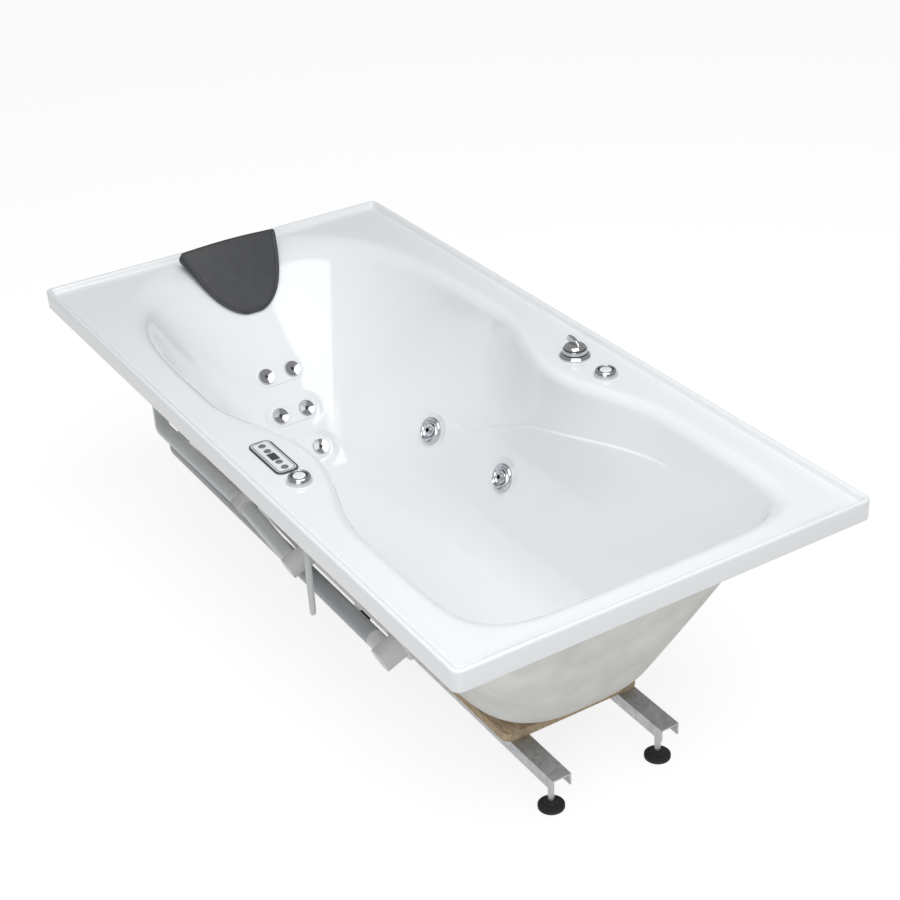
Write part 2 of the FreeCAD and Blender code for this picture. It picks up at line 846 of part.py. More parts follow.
board = doc.addObject("Part::Box", "board_blank")
bind(board, Length="board_length", Width="board_width", Height="board_thick")
board.Placement.Base = Vector(size("board_start"), -size("board_width") / 2, rail_top)
doc.recompute()
board_corners = doc.addObject("Part::Fillet", "board_corners")
board_corners.Base = board
upright = [index for index, edge in enumerate(board.Shape.Edges, start=1)
           if edge.BoundBox.ZLength > size("board_thick") / 2]
board_corners.Edges = [(index, size("board_corner"), size("board_corner")) for index in upright]
waste_hole = doc.addObject("Part::Cylinder", "waste_hole")
bind(waste_hole, Radius="waste_nut_radius + 6", Height="board_thick + 20")
place(waste_hole, Vector(size("waste_place"), 0, rail_top - 10))
base_board = node(doc.addObject("Part::Cut", "base_board"), "base_board")
base_board.Base = board_corners
base_board.Tool = waste_hole

for side, label in ((-1, "cradle_rail_near"), (1, "cradle_rail_far")):
    outer = doc.addObject("Part::Box", label + "_outer")
    bind(outer, Length="rail_length", Width="rail_width", Height="rail_height")
    middle = side * size("rail_spacing") / 2 - size("rail_width") / 2
    outer.Placement.Base = Vector(rail_start, middle, rail_under)
    inner = doc.addObject("Part::Box", label + "_inner")
    bind(inner, Length="rail_length + 20", Width="rail_width - 2 * rail_wall", Height="rail_height")
    inner.Placement.Base = Vector(rail_start - 10, middle + size("rail_wall"),
                                  rail_under - size("rail_wall"))
    rail = node(doc.addObject("Part::Cut", label), label)
    rail.Base = outer
    rail.Tool = inner

foot_socket_top = size("foot_pad_height") + size("foot_socket_height")
foot_pad = turned("foot_pad_pattern", [
    ("0", "0"), ("foot_pad_radius", "0"), ("foot_pad_radius", "foot_pad_height - 3"),
    ("foot_socket_radius", "foot_pad_height"),
    ("foot_socket_radius", "foot_pad_height + foot_socket_height"),
    ("stud_radius + running_gap", "foot_pad_height + foot_socket_height"),
    ("stud_radius + running_gap", "foot_pad_height"), ("0", "foot_pad_height")])
web_under = rail_top - size("rail_wall")
stud_shape = Part.makeCylinder(size("stud_radius"), web_under - size("foot_pad_height"))


def nut_shape():
    corner = size("nut_across_flats") / math.sqrt(3)
    points = [Vector(corner * math.cos(math.radians(60 * turn)),
                     corner * math.sin(math.radians(60 * turn)), 0) for turn in range(7)]
    blank = Part.Face(Part.makePolygon(points)).extrude(UP * size("nut_thick"))
    bore = Part.makeCylinder(size("stud_radius") + size("running_gap"), size("nut_thick"))
    return blank.cut(bore)


foot_sites = []
for side in (-1, 1):
    for step in range(3):
        run = size("rail_length") - 2 * size("foot_inset")
        x = rail_start + size("foot_inset") + run * step / 2
        foot_sites.append(Vector(x, side * size("rail_spacing") / 2, 0))
group("foot_pads", [placed_copy(foot_pad.Shape, site) for site in foot_sites])
group("levelling_studs", [placed_copy(stud_shape, site + UP * size("foot_pad_height"))
                          for site in foot_sites])
group("levelling_nuts", [placed_copy(nut_shape(), site + UP * (web_under - size("nut_thick")))
                         for site in foot_sites])

for side, label in ((-1, "rim_batten_near"), (1, "rim_batten_far")):
    batten = node(doc.addObject("Part::Box", label), label)
    bind(batten, Length="bath_length - 2 * batten_inset", Width="batten_width",
         Height="batten_height")
    inner_face = size("bath_width") / 2 - wall - 2 - size("batten_width")
    start = inner_face if side > 0 else -inner_face - size("batten_width")
    batten.Placement.Base = Vector(size("batten_inset") - half_length, start,
                                   deck_level - wall - size("batten_height"))

# ---------------------------------------------------------------- headrest


def pillow_base(depth, half_width):
    """A point just off the backrest's middle, clear of the curved wall under both edges."""
    normal = head_normal(depth)
    edge_share = 0.0
    while half_outline(depth, 0, edge_share)[1] < half_width:
        edge_share += 0.005
    hollow = half_outline(depth, 0, edge_share)[0] - head_point(depth).x
    return head_point(depth) + normal * (hollow * normal.x + size("pillow_lift"))


def pillow_section(base, front, half_width):
    """A section from the backrest out to the front face: drawn-in sides and a crowned front."""
    outward = (front - base).normalize()
    thick = (front - base).Length
    draw = min(size("pillow_side_draw"), thick * 0.4)
    low_far = base + ACROSS * (half_width - draw)
    low_near = base - ACROSS * (half_width - draw)
    swell = outward * (thick * 0.55)
    brow = outward * (thick * 0.88)
    high_far = base + ACROSS * (half_width - draw * 0.3) + brow
    high_near = base - ACROSS * (half_width - draw * 0.3) + brow
    return Part.Wire([
        Part.LineSegment(low_near, low_far).toShape(),
        Part.Arc(low_far, base + ACROSS * half_width + swell, high_far).toShape(),
        Part.Arc(high_far, front, high_near).toShape(),
        Part.Arc(high_near, base - ACROSS * half_width + swell, low_near).toShape()])


def make_pillow():
    """A wedge: thick at its ridge over the rolled edge, it narrows and thins to a round tip."""
    tip = size("pillow_tip_depth")
    ridge = Vector(size("pillow_ridge_reach") - half_length, 0, rim_top + size("pillow_ridge_rise"))
    tip_front = head_point(tip) + head_normal(tip) * size("pillow_tip_thick")
    sections = []
    steps = 8
    for step in range(steps):
        share = step / (steps - 1)
        depth = mix(size("pillow_top_depth"), tip, share ** 1.3)
        width = (size("pillow_half_width") - size("pillow_taper") * share)
        width *= math.sqrt(1 - (share / 1.03) ** 5)
        front = ridge + (tip_front - ridge) * share
        sections.append(pillow_section(pillow_base(depth, width), front, width))
    return Part.makeLoft(sections, True, True)


headrest = node(doc.addObject("Part::Feature", "headrest"), "headrest_pad")
headrest.Shape = make_pillow()
peg_pattern = turned("headrest_peg_pattern", [
    ("0", "0"), ("peg_radius + 4", "0"), ("peg_radius + 4", "3"), ("peg_radius", "3"),
    ("peg_radius", "3 + peg_length + peg_reach"), ("0", "3 + peg_length + peg_reach")])
group("headrest_pegs", [placed_copy(peg_pattern.Shape, peg - lean * (size("peg_length") + 3), lean)
                        for peg, lean in peg_sites.values()])

# ---------------------------------------------------------------- keypad on the near deck

keypad_centre = Vector(size("keypad_place"), -control_line, deck_level)


def rounded_plate(length, width, corner, low, high):
    box = Part.makeBox(length, width, high - low, Vector(-length / 2, -width / 2, low))
    edges = [edge for edge in box.Edges if edge.BoundBox.ZLength > (high - low) * 0.9]
    return box.makeFillet(corner, edges)


def key_places():
    spacing = size("key_spacing")
    return [Vector(offset * spacing, 0, 0) for offset in (-1.75, -0.9, 0.9, 1.75)]


def keypad_shape():
    """The bezel on the deck and the body that hangs through it, with pockets for the keys."""
    thick = size("bezel_thick")
    length, width = size("keypad_length"), size("keypad_width")
    bezel = rounded_plate(length, width, size("keypad_corner"), 0, thick)
    top_edges = [edge for edge in bezel.Edges if edge.BoundBox.ZMin > thick - 0.1]
    bezel = bezel.makeChamfer(1, top_edges)
    body = Part.makeBox(length - 4 * size("bezel_border"), width - 2 * size("bezel_border"),
                        size("keypad_body_depth"),
                        Vector(-length / 2 + 2 * size("bezel_border"),
                               -width / 2 + size("bezel_border"), -size("keypad_body_depth")))
    shape = bezel.fuse(body)
    pocket = size("key_radius") + size("running_gap")
    for spot in key_places():
        shape = shape.cut(Part.makeCylinder(pocket, 8, spot + UP * (thick - 4)))
    window = Part.makeBox(size("display_length") + 0.2, size("display_width") + 0.2, 4,
                          Vector(-size("display_length") / 2 - 0.1,
                                 -size("display_width") / 2 - 0.1, thick - 1.5))
    return shape.cut(window)


keypad = node(doc.addObject("Part::Feature", "keypad"), "keypad_bezel")
keypad.Shape = keypad_shape()
place(keypad, keypad_centre)
display = node(doc.addObject("Part::Box", "display"), "keypad_display")
bind(display, Length="display_length", Width="display_width", Height="1.5")
display.Placement.Base = keypad_centre + Vector(-size("display_length") / 2,
                                                -size("display_width") / 2,
                                                size("bezel_thick") - 1.5)
key_pattern = turned("key_pattern", [
    ("0", "0"), ("key_radius", "0"), ("key_radius", "4 - key_travel + key_rise - 1"),
    ("key_radius - 1", "4 - key_travel + key_rise"), ("0", "4 - key_travel + key_rise")])
key_base = size("bezel_thick") - 4 + size("key_travel")
for index, spot in enumerate(key_places(), start=1):
    key = node(doc.addObject("Part::Feature", "key"), f"keypad_key_{index}")
    key.Shape = key_pattern.Shape
    place(key, keypad_centre + spot + UP * key_base)

# ---------------------------------------------------------------- air controls

air_valve = turned("air_valve_pattern", [
    ("air_stem_radius + running_gap", "0"), ("air_flange_radius", "0"),
    ("air_flange_radius", "0 - air_flange_thick"), ("air_neck_radius", "0 - air_flange_thick"),
    ("air_neck_radius", "0 - air_flange_thick - shell_wall"),
    ("air_body_radius", "0 - air_flange_thick - shell_wall"),
    ("air_body_radius", "0 - air_flange_thick - air_body_length"),
    ("0", "0 - air_flange_thick - air_body_length"),
    ("0", "0 - air_flange_thick - 16"),
    ("air_stem_radius + running_gap", "0 - air_flange_thick - 16")])
air_knob = turned("air_knob_pattern", [
    ("0", "0 - air_flange_thick - 15"), ("air_stem_radius", "0 - air_flange_thick - 15"),
    ("air_stem_radius", "running_gap"), ("air_knob_radius", "running_gap"),
    ("air_knob_radius", "air_knob_height * 0.4"),
    ("air_knob_radius - 3", "air_knob_height * 0.85"),
    ("air_knob_radius - 7", "air_knob_height"), ("0", "air_knob_height * 0.9")])
air_sites = {}
for side, label in ((-1, "near"), (1, "far")):
    air_sites[label] = Vector(size("air_place"), side * control_line,
                              deck_level + size("air_flange_thick"))
group("air_valve_bodies", [placed_copy(air_valve.Shape, site) for site in air_sites.values()])
for label, site in air_sites.items():
    knob = node(doc.addObject("Part::Feature", "air_knob"), f"air_knob_{label}")
    knob.Shape = air_knob.Shape
    place(knob, site)

# ---------------------------------------------------------------- diverter

diverter_site = Vector(size("diverter_place"), control_line, deck_level)
diverter_flange = node(turned("diverter_flange", [
    ("diverter_stem_radius + running_gap", "0"), ("diverter_flange_radius", "0"),
    ("diverter_flange_radius", "diverter_flange_thick * 0.4"),
    ("diverter_flange_radius - 3", "diverter_flange_thick * 0.8"),
    ("diverter_handle_radius", "diverter_flange_thick"),
    ("diverter_stem_radius + running_gap", "diverter_flange_thick")]), "diverter_flange")
place(diverter_flange, diverter_site)
diverter_body = node(turned("diverter_body", [
    ("diverter_stem_radius + running_gap", "0"), ("diverter_neck_radius", "0"),
    ("diverter_neck_radius", "0 - shell_wall"), ("diverter_body_radius", "0 - shell_wall"),
    ("diverter_body_radius", "0 - diverter_body_length"), ("0", "0 - diverter_body_length"),
    ("0", "0 - 31"), ("diverter_stem_radius + running_gap", "0 - 31")]), "diverter_body")
place(diverter_body, diverter_site)
diverter_turning = turned("diverter_turning", [
    ("0", "0 - 30"), ("diverter_stem_radius", "0 - 30"),
    ("diverter_stem_radius", "diverter_flange_thick + running_gap"),
    ("diverter_handle_radius", "diverter_flange_thick + running_gap"),
    ("diverter_handle_radius", "diverter_flange_thick + diverter_handle_height * 0.45"),
    ("diverter_handle_radius - 4", "diverter_flange_thick + diverter_handle_height * 0.8"),
    ("diverter_handle_radius - 11", "diverter_flange_thick + diverter_handle_height"),
    ("0", "diverter_flange_thick + diverter_handle_height + 1")])


def fin_shape():
    """The finger fin across the knob, longer on the pointer side."""
    half_thick = size("diverter_fin_thick") / 2
    low = size("diverter_flange_thick") + size("diverter_handle_height") * 0.6
    high = size("diverter_flange_thick") + size("diverter_handle_height") + size("diverter_fin_height")
    reach = size("diverter_handle_radius")
    corners = [Vector(-reach - 4, 0, low), Vector(-reach - 4, 0, low + 9),
               Vector(-reach * 0.5, 0, high), Vector(reach * 0.2, 0, high - 2),
               Vector(reach * 0.8, 0, low + 4), Vector(reach * 0.8, 0, low)]
    face = Part.Face(Part.makePolygon(corners + corners[:1]))
    fin = face.extrude(ACROSS * (2 * half_thick))
    fin.translate(ACROSS * -half_thick)
    return fin.makeFillet(2, [edge for edge in fin.Edges if edge.BoundBox.ZMin > low + 3])


diverter_handle = node(doc.addObject("Part::Feature", "diverter_handle"), "diverter_handle")
diverter_handle.Shape = diverter_turning.Shape.fuse(fin_shape())
place(diverter_handle, diverter_site)

# ---------------------------------------------------------------- waste

waste_site = Vector(size("waste_place"), 0, floor_level)
waste_flange = turned("waste_flange_turning", [
    ("waste_bore_radius", "waste_flange_thick * 0.5"), ("plug_radius + 4", "waste_flange_thick"),
    ("waste_radius", "waste_flange_thick * 0.4"), ("waste_radius", "0"),
    ("waste_neck_radius", "0"), ("waste_neck_radius", "0 - shell_wall - waste_nut_thick"),
    ("waste_tail_radius", "0 - shell_wall - waste_nut_thick"),
    ("waste_tail_radius", "0 - shell_wall - waste_nut_thick - waste_tail_length"),
    ("waste_bore_radius", "0 - shell_wall - waste_nut_thick - waste_tail_length")])


def waste_shape():
    """The waste with its bored centre and the cross bars that guide the plug's stem."""
    level = -20.0
    guide = Part.makeCylinder(size("spider_radius"), 8, UP * level)
    bar = Part.makeBox(2 * size("waste_bore_radius") + 2, 4, 8,
                       Vector(-size("waste_bore_radius") - 1, -2, level))
    other = Part.makeBox(4, 2 * size("waste_bore_radius") + 2, 8,
                         Vector(-2, -size("waste_bore_radius") - 1, level))
    bore = Part.makeCylinder(size("plug_stem_radius") + size("running_gap"), 20, UP * (level - 5))
    return waste_flange.Shape.fuse([guide, bar, other]).cut(bore)


waste = node(doc.addObject("Part::Feature", "waste"), "waste_fitting")
waste.Shape = waste_shape()
place(waste, waste_site)
waste_nut = node(turned("waste_nut", [
    ("waste_neck_radius + running_gap", "0"), ("waste_nut_radius", "0"),
    ("waste_nut_radius", "waste_nut_thick - 1"), ("waste_neck_radius + running_gap",
                                                  "waste_nut_thick - 1")]), "waste_nut")
place(waste_nut, waste_site - UP * (wall + size("waste_nut_thick") - 1))
waste_plug = node(turned("waste_plug", [
    ("0", "0 - plug_stem_length"), ("plug_stem_radius", "0 - plug_stem_length"),
    ("plug_stem_radius", "0"), ("plug_radius", "0"), ("plug_radius", "plug_thick * 0.5"),
    ("plug_radius - 5", "plug_thick"), ("0", "plug_thick + 1")]), "waste_plug")
place(waste_plug, waste_site + UP * (size("waste_flange_thick") + size("seat_gap")))

# ---------------------------------------------------------------- suction fitting

suction_tail = turned("suction_tail", [
    ("0", "0"), ("suction_tube_radius", "0"), ("suction_tube_radius", "suction_tail_length"),
    ("suction_bore_radius", "suction_tail_length"), ("suction_bore_radius", "4"), ("0", "4")])
suction_chamber = suction_site - suction_normal * (size("suction_tail_length") - 24)


def suction_body_shape():
    """Tail through the wall, a flange under the cover, a centre post and the pipe's port."""
    tail = placed_copy(suction_tail.Shape, suction_site - suction_normal * size("suction_tail_length"),
                       suction_normal)
    cover_inside = size("suction_cover_radius") - size("suction_cover_wall") - 4
    flange = disc(suction_site, suction_normal, cover_inside, 0, 3)
    post_top = size("suction_cover_rise") - size("suction_cover_wall") - size("seat_gap")
    post = disc(suction_site, suction_normal, size("suction_post_radius"), -20, post_top)
    web = disc(suction_site, suction_normal, size("suction_tube_radius"), -20, -16)
    direction = (suction_corner - suction_chamber).normalize()
    port = Part.makeCylinder(size("suction_pipe_radius"), stub + 26, suction_chamber, direction)
    body = tail.fuse([flange, post, web, port])
    hollow = disc(suction_site, suction_normal, size("suction_bore_radius"), -15, 3)
    return body.cut(hollow.cut(post))


suction_level = rail_top + size("pump_board_thick") + size("pump_pad_height")
suction_level += size("pump_plate_thick") + size("pump_saddle_height") + size("motor_radius")
pump_axis = suction_level
suction_corner = Vector(pump_x, suction_chamber.y, pump_axis)
suction = node(doc.addObject("Part::Feature", "suction"), "suction_body")
suction.Shape = suction_body_shape()
suction_nut = turned("suction_nut_pattern", [
    ("suction_tube_radius + running_gap", "0"), ("suction_tube_radius + 11", "0"),
    ("suction_tube_radius + 11", "jet_nut_thick - ring_edge"),
    ("suction_tube_radius + 11 - ring_edge", "jet_nut_thick"),
    ("suction_tube_radius + running_gap", "jet_nut_thick")])
group("suction_nut", [placed_copy(suction_nut.Shape, suction_site - suction_normal * size("boss_thick"),
                                  -suction_normal)])
cover_pattern = turned("suction_cover_pattern", [
    ("suction_screw_radius + running_gap", "suction_cover_rise"),
    ("suction_cover_radius * 0.55", "suction_cover_rise"),
    ("suction_cover_radius", "suction_cover_rise * 0.35"), ("suction_cover_radius", "0"),
    ("suction_cover_radius - suction_cover_wall", "0"),
    ("suction_cover_radius - suction_cover_wall", "suction_cover_rise * 0.3"),
    ("suction_cover_radius * 0.55 - 2", "suction_cover_rise - suction_cover_wall"),
    ("suction_screw_radius + running_gap", "suction_cover_rise - suction_cover_wall")])


def cover_shape():
    """A domed cover with straight slots, parted by a bar in the middle."""
    cover = cover_pattern.Shape
    pitch = size("suction_slot_pitch")
    count = int(size("suction_cover_radius") * 0.8 / pitch)
    for index in range(-count, count + 1):
        half = math.sqrt((size("suction_cover_radius") * 0.82) ** 2 - (index * pitch) ** 2)
        for side in (-1, 1):
            start = 13.0 if abs(index) < 2 else 6.0
            low = start if side > 0 else -half
            slot = Part.makeBox(half - start, size("suction_slot_width"), 40,
                                Vector(low, index * pitch - size("suction_slot_width") / 2, 1))
            cover = cover.cut(slot)
    return cover


suction_cover = node(doc.addObject("Part::Feature", "suction_cover"), "suction_cover")
suction_cover.Shape = cover_shape()
place(suction_cover, suction_site, suction_normal)
screw_pattern = turned("suction_screw_pattern", [
    ("0", "0"), ("suction_screw_radius", "0"),
    ("suction_screw_radius", "suction_cover_wall + seat_gap"),
    ("suction_screw_radius + 3", "suction_cover_wall + seat_gap"),
    ("suction_screw_radius + 2", "suction_cover_wall + seat_gap + 2"),
    ("0", "suction_cover_wall + seat_gap + 2")])
post_top = size("suction_cover_rise") - size("suction_cover_wall") - size("seat_gap")
group("suction_screw", [placed_copy(screw_pattern.Shape, suction_site + suction_normal * post_top,
                                    suction_normal)])

# ---------------------------------------------------------------- pump

pump_board = node(doc.addObject("Part::Box", "pump_board"), "pump_board")
bind(pump_board, Length="pump_board_length", Width="pump_board_width", Height="pump_board_thick")
pump_board.Placement.Base = Vector(size("pump_board_inset") - half_length, size("pump_board_near"), rail_top)
board_level = rail_top + size("pump_board_thick")
plate_level = board_level + size("pump_pad_height")
plate_top = plate_level + size("pump_plate_thick")
pump_centre = Vector(pump_x, 0, pump_axis)
motor_end = size("motor_start") + size("motor_length")


def plate_shape():
    """The pump's foot: a plate with a saddle hollowed to the motor."""
    length = size("pump_plate_length")
    start = size("motor_start") + 10
    plate = Part.makeBox(length, size("motor_length") - 20, size("pump_plate_thick"),
                         Vector(pump_x - length / 2, start, plate_level))
    saddle = Part.makeBox(length * 0.6, size("motor_length") - 60, 30,
                          Vector(pump_x - length * 0.3, start + 20, plate_top))
    motor_space = Part.makeCylinder(size("motor_radius") + size("motor_fin_height") + 0.2, 400,
                                    Vector(pump_x, -50, pump_axis), ACROSS)
    return plate.fuse(saddle).cut(motor_space)


def pad_places():
    length = size("pump_plate_length") / 2 - 20
    start = size("motor_start") + 30
    end = motor_end - 30
    return [Vector(pump_x + side * length, y, board_level) for side in (-1, 1) for y in (start, end)]


group("pump_plate", [plate_shape()])
group("pump_mounts", [Part.makeCylinder(size("pump_pad_radius"), size("pump_pad_height"), spot)
                      for spot in pad_places()])


def motor_shape():
    """The motor's finned barrel, lying along Y, with its terminal box on top."""
    radius = size("motor_radius")
    barrel = disc(pump_centre, ACROSS, radius, size("motor_start"), motor_end)
    fins = []
    count = int(size("motor_fin_count"))
    for index in range(count):
        angle = 360.0 * (index + 0.5) / count
        fin = Part.makeBox(size("motor_fin_height") + 4, size("motor_length") - 40,
                           size("motor_fin_thick"),
                           Vector(radius - 4, size("motor_start") + 20, -size("motor_fin_thick") / 2))
        fin.rotate(Vector(), ACROSS, angle)
        fin.translate(Vector(pump_x, 0, pump_axis))
        fins.append(fin)
    shaft_bore = disc(pump_centre, ACROSS, size("shaft_radius") + size("running_gap"),
                      size("motor_start") - 1, size("motor_start") + 41)
    return barrel.fuse(fins).cut(shaft_bore)


group("pump_motor", [motor_shape()])
fan_cover = turned("fan_cover_pattern", [
    ("0", "0"), ("fan_cover_radius", "0"), ("fan_cover_radius", "fan_cover_length - 10"),
    ("fan_cover_radius - 10", "fan_cover_length"), ("0", "fan_cover_length")])
group("pump_fan_cover", [placed_copy(fan_cover.Shape, pump_centre + ACROSS * motor_end, ACROSS)])


def volute_shape():
    """The wet end: a hollow drum with its suction port in front and outlet on top."""
    half = size("volute_half_width")
    radius = size("volute_radius")
    drum = disc(pump_centre, ACROSS, radius, -half, size("motor_start"))
    front = disc(pump_centre, ACROSS, size("suction_pipe_radius"), -half - size("volute_port_length"),
                 -half + 1)
    outlet = Part.makeCylinder(hose, outlet_top - pump_axis, pump_centre)
    chamber = disc(pump_centre, ACROSS, radius - size("volute_wall"), -half + size("volute_wall"),
                   half - size("volute_wall"))
    shaft = disc(pump_centre, ACROSS, size("shaft_radius") + size("running_gap"), 0, 60)
    eye = disc(pump_centre, ACROSS, size("suction_pipe_radius") - 4, -half - 40, 0)
    return drum.fuse([front, outlet]).cut([chamber, shaft, eye])


outlet_top = tee_level - size("tee_radius")
group("pump_volute", [volute_shape()])


def impeller_shape():
    """The impeller: a back disc with swept vanes, on the motor's shaft."""
    half = size("volute_half_width") - size("volute_wall")
    back = disc(pump_centre, ACROSS, size("impeller_radius"), half - 5, half - 1)
    vanes = []
    count = int(size("vane_count"))
    for index in range(count):
        vane = Part.makeBox(size("impeller_radius") - 20, size("impeller_thick") - 4,
                            size("vane_thick"), Vector(18, half - size("impeller_thick"), 8))
        vane.rotate(Vector(), ACROSS, 360.0 * index / count)
        vane.translate(Vector(pump_x, 0, pump_axis))
        vanes.append(vane)
    hub = disc(pump_centre, ACROSS, size("shaft_radius") + 5, half - size("impeller_thick"), half - 4)
    shaft = disc(pump_centre, ACROSS, size("shaft_radius"), half - 6, size("motor_start") + 40)
    disc_edge = disc(pump_centre, ACROSS, size("impeller_radius"), -half, half)
    return back.fuse(vanes + [hub, shaft]).common(disc_edge.fuse(shaft))


group("pump_rotor", [impeller_shape()])


def tee_shape():
    """The four-way piece on the pump's outlet: down, near, far and towards the back jets."""
    radius, reach = size("tee_radius"), size("tee_reach")
    across = Part.makeCylinder(radius, 2 * reach, tee_centre - ACROSS * reach, ACROSS)
    down = Part.makeCylinder(radius, radius, tee_centre - UP * radius, UP)
    forward = Part.makeCylinder(radius, reach, tee_centre, ALONG)
    return across.fuse([down, forward]).removeSplitter()


group("outlet_tee", [tee_shape()])
front_port = Vector(pump_x, -size("volute_half_width") - size("volute_port_length"), pump_axis)
suction_start = towards(suction_chamber, suction_corner, stub + 26)
group("suction_pipe", [pipe([suction_start, suction_corner, front_port],
                            size("suction_pipe_radius"), 55)])

# ---------------------------------------------------------------- control box

box_corner = Vector(size("control_box_inset") - half_length, size("control_box_near"), board_level)
box_shape = Part.makeBox(size("control_box_length"), size("control_box_width"),
                         size("control_box_height"), box_corner)
box_shape = box_shape.makeFillet(6, [edge for edge in box_shape.Edges
                                     if edge.BoundBox.ZLength > size("control_box_height") / 2])
group("control_box", [box_shape])
gland_spot = box_corner + Vector(size("control_box_length") / 2, size("control_box_width"), 40)
gland = turned("gland_pattern", [
    ("0", "0"), ("gland_radius", "0"), ("gland_radius", "gland_length * 0.5"),
    ("gland_radius - 2", "gland_length"), ("0", "gland_length")])
group("cable_gland", [placed_copy(gland.Shape, gland_spot, ACROSS)])

# ---------------------------------------------------------------- check and write

doc.recompute()
for item in doc.Objects:
    if {"Invalid", "Error"} & set(item.State):
        raise RuntimeError(f"{item.Label} failed: {item.State}")
os.makedirs("parts", exist_ok=True)
for item in nodes:
    shape = item.Shape
    if shape.isNull() or not shape.isValid() or not shape.Solids:
        raise RuntimeError(f"{item.Label} has no valid solid")
    shape.exportStep(f"parts/{item.Label}.step")
    print(f"{item.Label}: {len(shape.Solids)} solids, {shape.Volume / 1000:.1f} cm3")
print(f"{len(nodes)} nodes")
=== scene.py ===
import math
import bmesh
import bpy
import numpy as np
from mathutils import Matrix, Vector


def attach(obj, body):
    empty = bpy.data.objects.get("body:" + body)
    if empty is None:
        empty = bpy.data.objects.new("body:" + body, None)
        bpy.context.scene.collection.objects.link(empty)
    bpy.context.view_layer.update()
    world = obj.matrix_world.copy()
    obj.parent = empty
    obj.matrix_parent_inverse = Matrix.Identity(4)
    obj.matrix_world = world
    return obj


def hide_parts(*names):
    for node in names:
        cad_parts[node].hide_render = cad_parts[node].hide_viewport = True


# Jetted bathtub, in metres. X runs from the head end to the foot end, Y from the keypad side to
# the diverter side, Z up from the floor.

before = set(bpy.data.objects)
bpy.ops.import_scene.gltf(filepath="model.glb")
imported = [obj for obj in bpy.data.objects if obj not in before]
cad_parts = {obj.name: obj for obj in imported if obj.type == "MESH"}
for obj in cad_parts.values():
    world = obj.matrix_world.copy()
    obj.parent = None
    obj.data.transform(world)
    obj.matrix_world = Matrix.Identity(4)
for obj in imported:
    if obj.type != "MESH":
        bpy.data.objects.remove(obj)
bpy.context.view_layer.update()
print("frame loaded,", len(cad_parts), "nodes")

# small tools for grids and meshes

def smoothStep(low, high, value):
    # nought below low, one above high, and a cubic between
    share = np.clip((value - low) / (high - low), 0, 1)
    return share * share * (3 - 2 * share)


def mix(low, high, share):
    # low at a share of nought, high at one, and a straight line between
    return low + (high - low) * share


def unit(vector):
    # each vector divided by its own length
    vector = np.asarray(vector, float)
    return vector / np.maximum(np.linalg.norm(vector, axis=-1, keepdims=True), 1e-12)


def gridFaces(rows, columns, wrapRows, wrapColumns):
    # four corners of each cell, with the last row or column joined to the first where it wraps
    index = np.arange(rows * columns).reshape(rows, columns)
    if wrapRows:
        index = np.vstack([index, index[:1]])
    if wrapColumns:
        index = np.hstack([index, index[:, :1]])
    corners = [index[:-1, :-1], index[:-1, 1:], index[1:, 1:], index[1:, :-1]]
    return np.stack(corners, -1).reshape(-1, 4)


def finishMesh(name, points, faces, material, body, sharp=40.0):
    # merges doubles, turns faces outwards, smooths up to the sharp angle and puts the piece on its body
    mesh = bpy.data.meshes.new(name)
    mesh.from_pydata(points.reshape(-1, 3).tolist(), [], faces.tolist())
    shape = bmesh.new()
    shape.from_mesh(mesh)
    bmesh.ops.remove_doubles(shape, verts=shape.verts, dist=2e-6)
    bmesh.ops.recalc_face_normals(shape, faces=shape.faces)
    shape.to_mesh(mesh)
    shape.free()
    mesh.shade_smooth()
    mesh.set_sharp_from_angle(angle=math.radians(sharp))
    piece = bpy.data.objects.new(name, mesh)
    bpy.context.scene.collection.objects.link(piece)
    mesh.materials.append(material)
    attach(piece, body)
    return piece


def gridPiece(name, points, material, body, wrapRows=False, wrapColumns=True, sharp=40.0):
    # a piece from rows and columns of points
    faces = gridFaces(points.shape[0], points.shape[1], wrapRows, wrapColumns)
    return finishMesh(name, points, faces, material, body, sharp)


def roundedProfile(corners, steps=5):
    # a polyline through (radius, height, round) corners, each corner turned into a small arc
    line = []
    for before, here, after in zip([corners[0]] + corners[:-1], corners, corners[1:] + [corners[-1]]):
        point, back, ahead = (np.array(c[:2], float) for c in (here, before, after))
        if here[2] == 0:
            line.append(point)
            continue
        start = point + unit(back - point) * here[2]
        end = point + unit(ahead - point) * here[2]
        for share in np.linspace(0, 1, steps + 1):
            line.append((1 - share) ** 2 * start + 2 * share * (1 - share) * point + share ** 2 * end)
    return np.array(line)


def axesOf(normal):
    # two directions square to a normal, the first as level as it can be
    normal = unit(normal)
    level = np.cross(normal, (0, 0, 1))
    level = unit(level) if np.linalg.norm(level) > 1e-6 else np.array([1.0, 0, 0])
    return level, np.cross(normal, level), normal


def turnedPoints(profile, centre, normal, steps=64):
    # the profile's radius swept round the axis, its height carried along the normal
    across, upward, outward = axesOf(normal)
    angle = np.arange(steps) * 2 * math.pi / steps
    around = np.cos(angle)[:, None] * across + np.sin(angle)[:, None] * upward
    return (np.asarray(centre) + profile[:, :1, None] * around[None]
            + profile[:, 1:, None] * outward[None, None])

# finishes

def newMaterial(name):
    material = bpy.data.materials.new(name)
    material.use_nodes = True
    return material, material.node_tree.nodes, material.node_tree.links


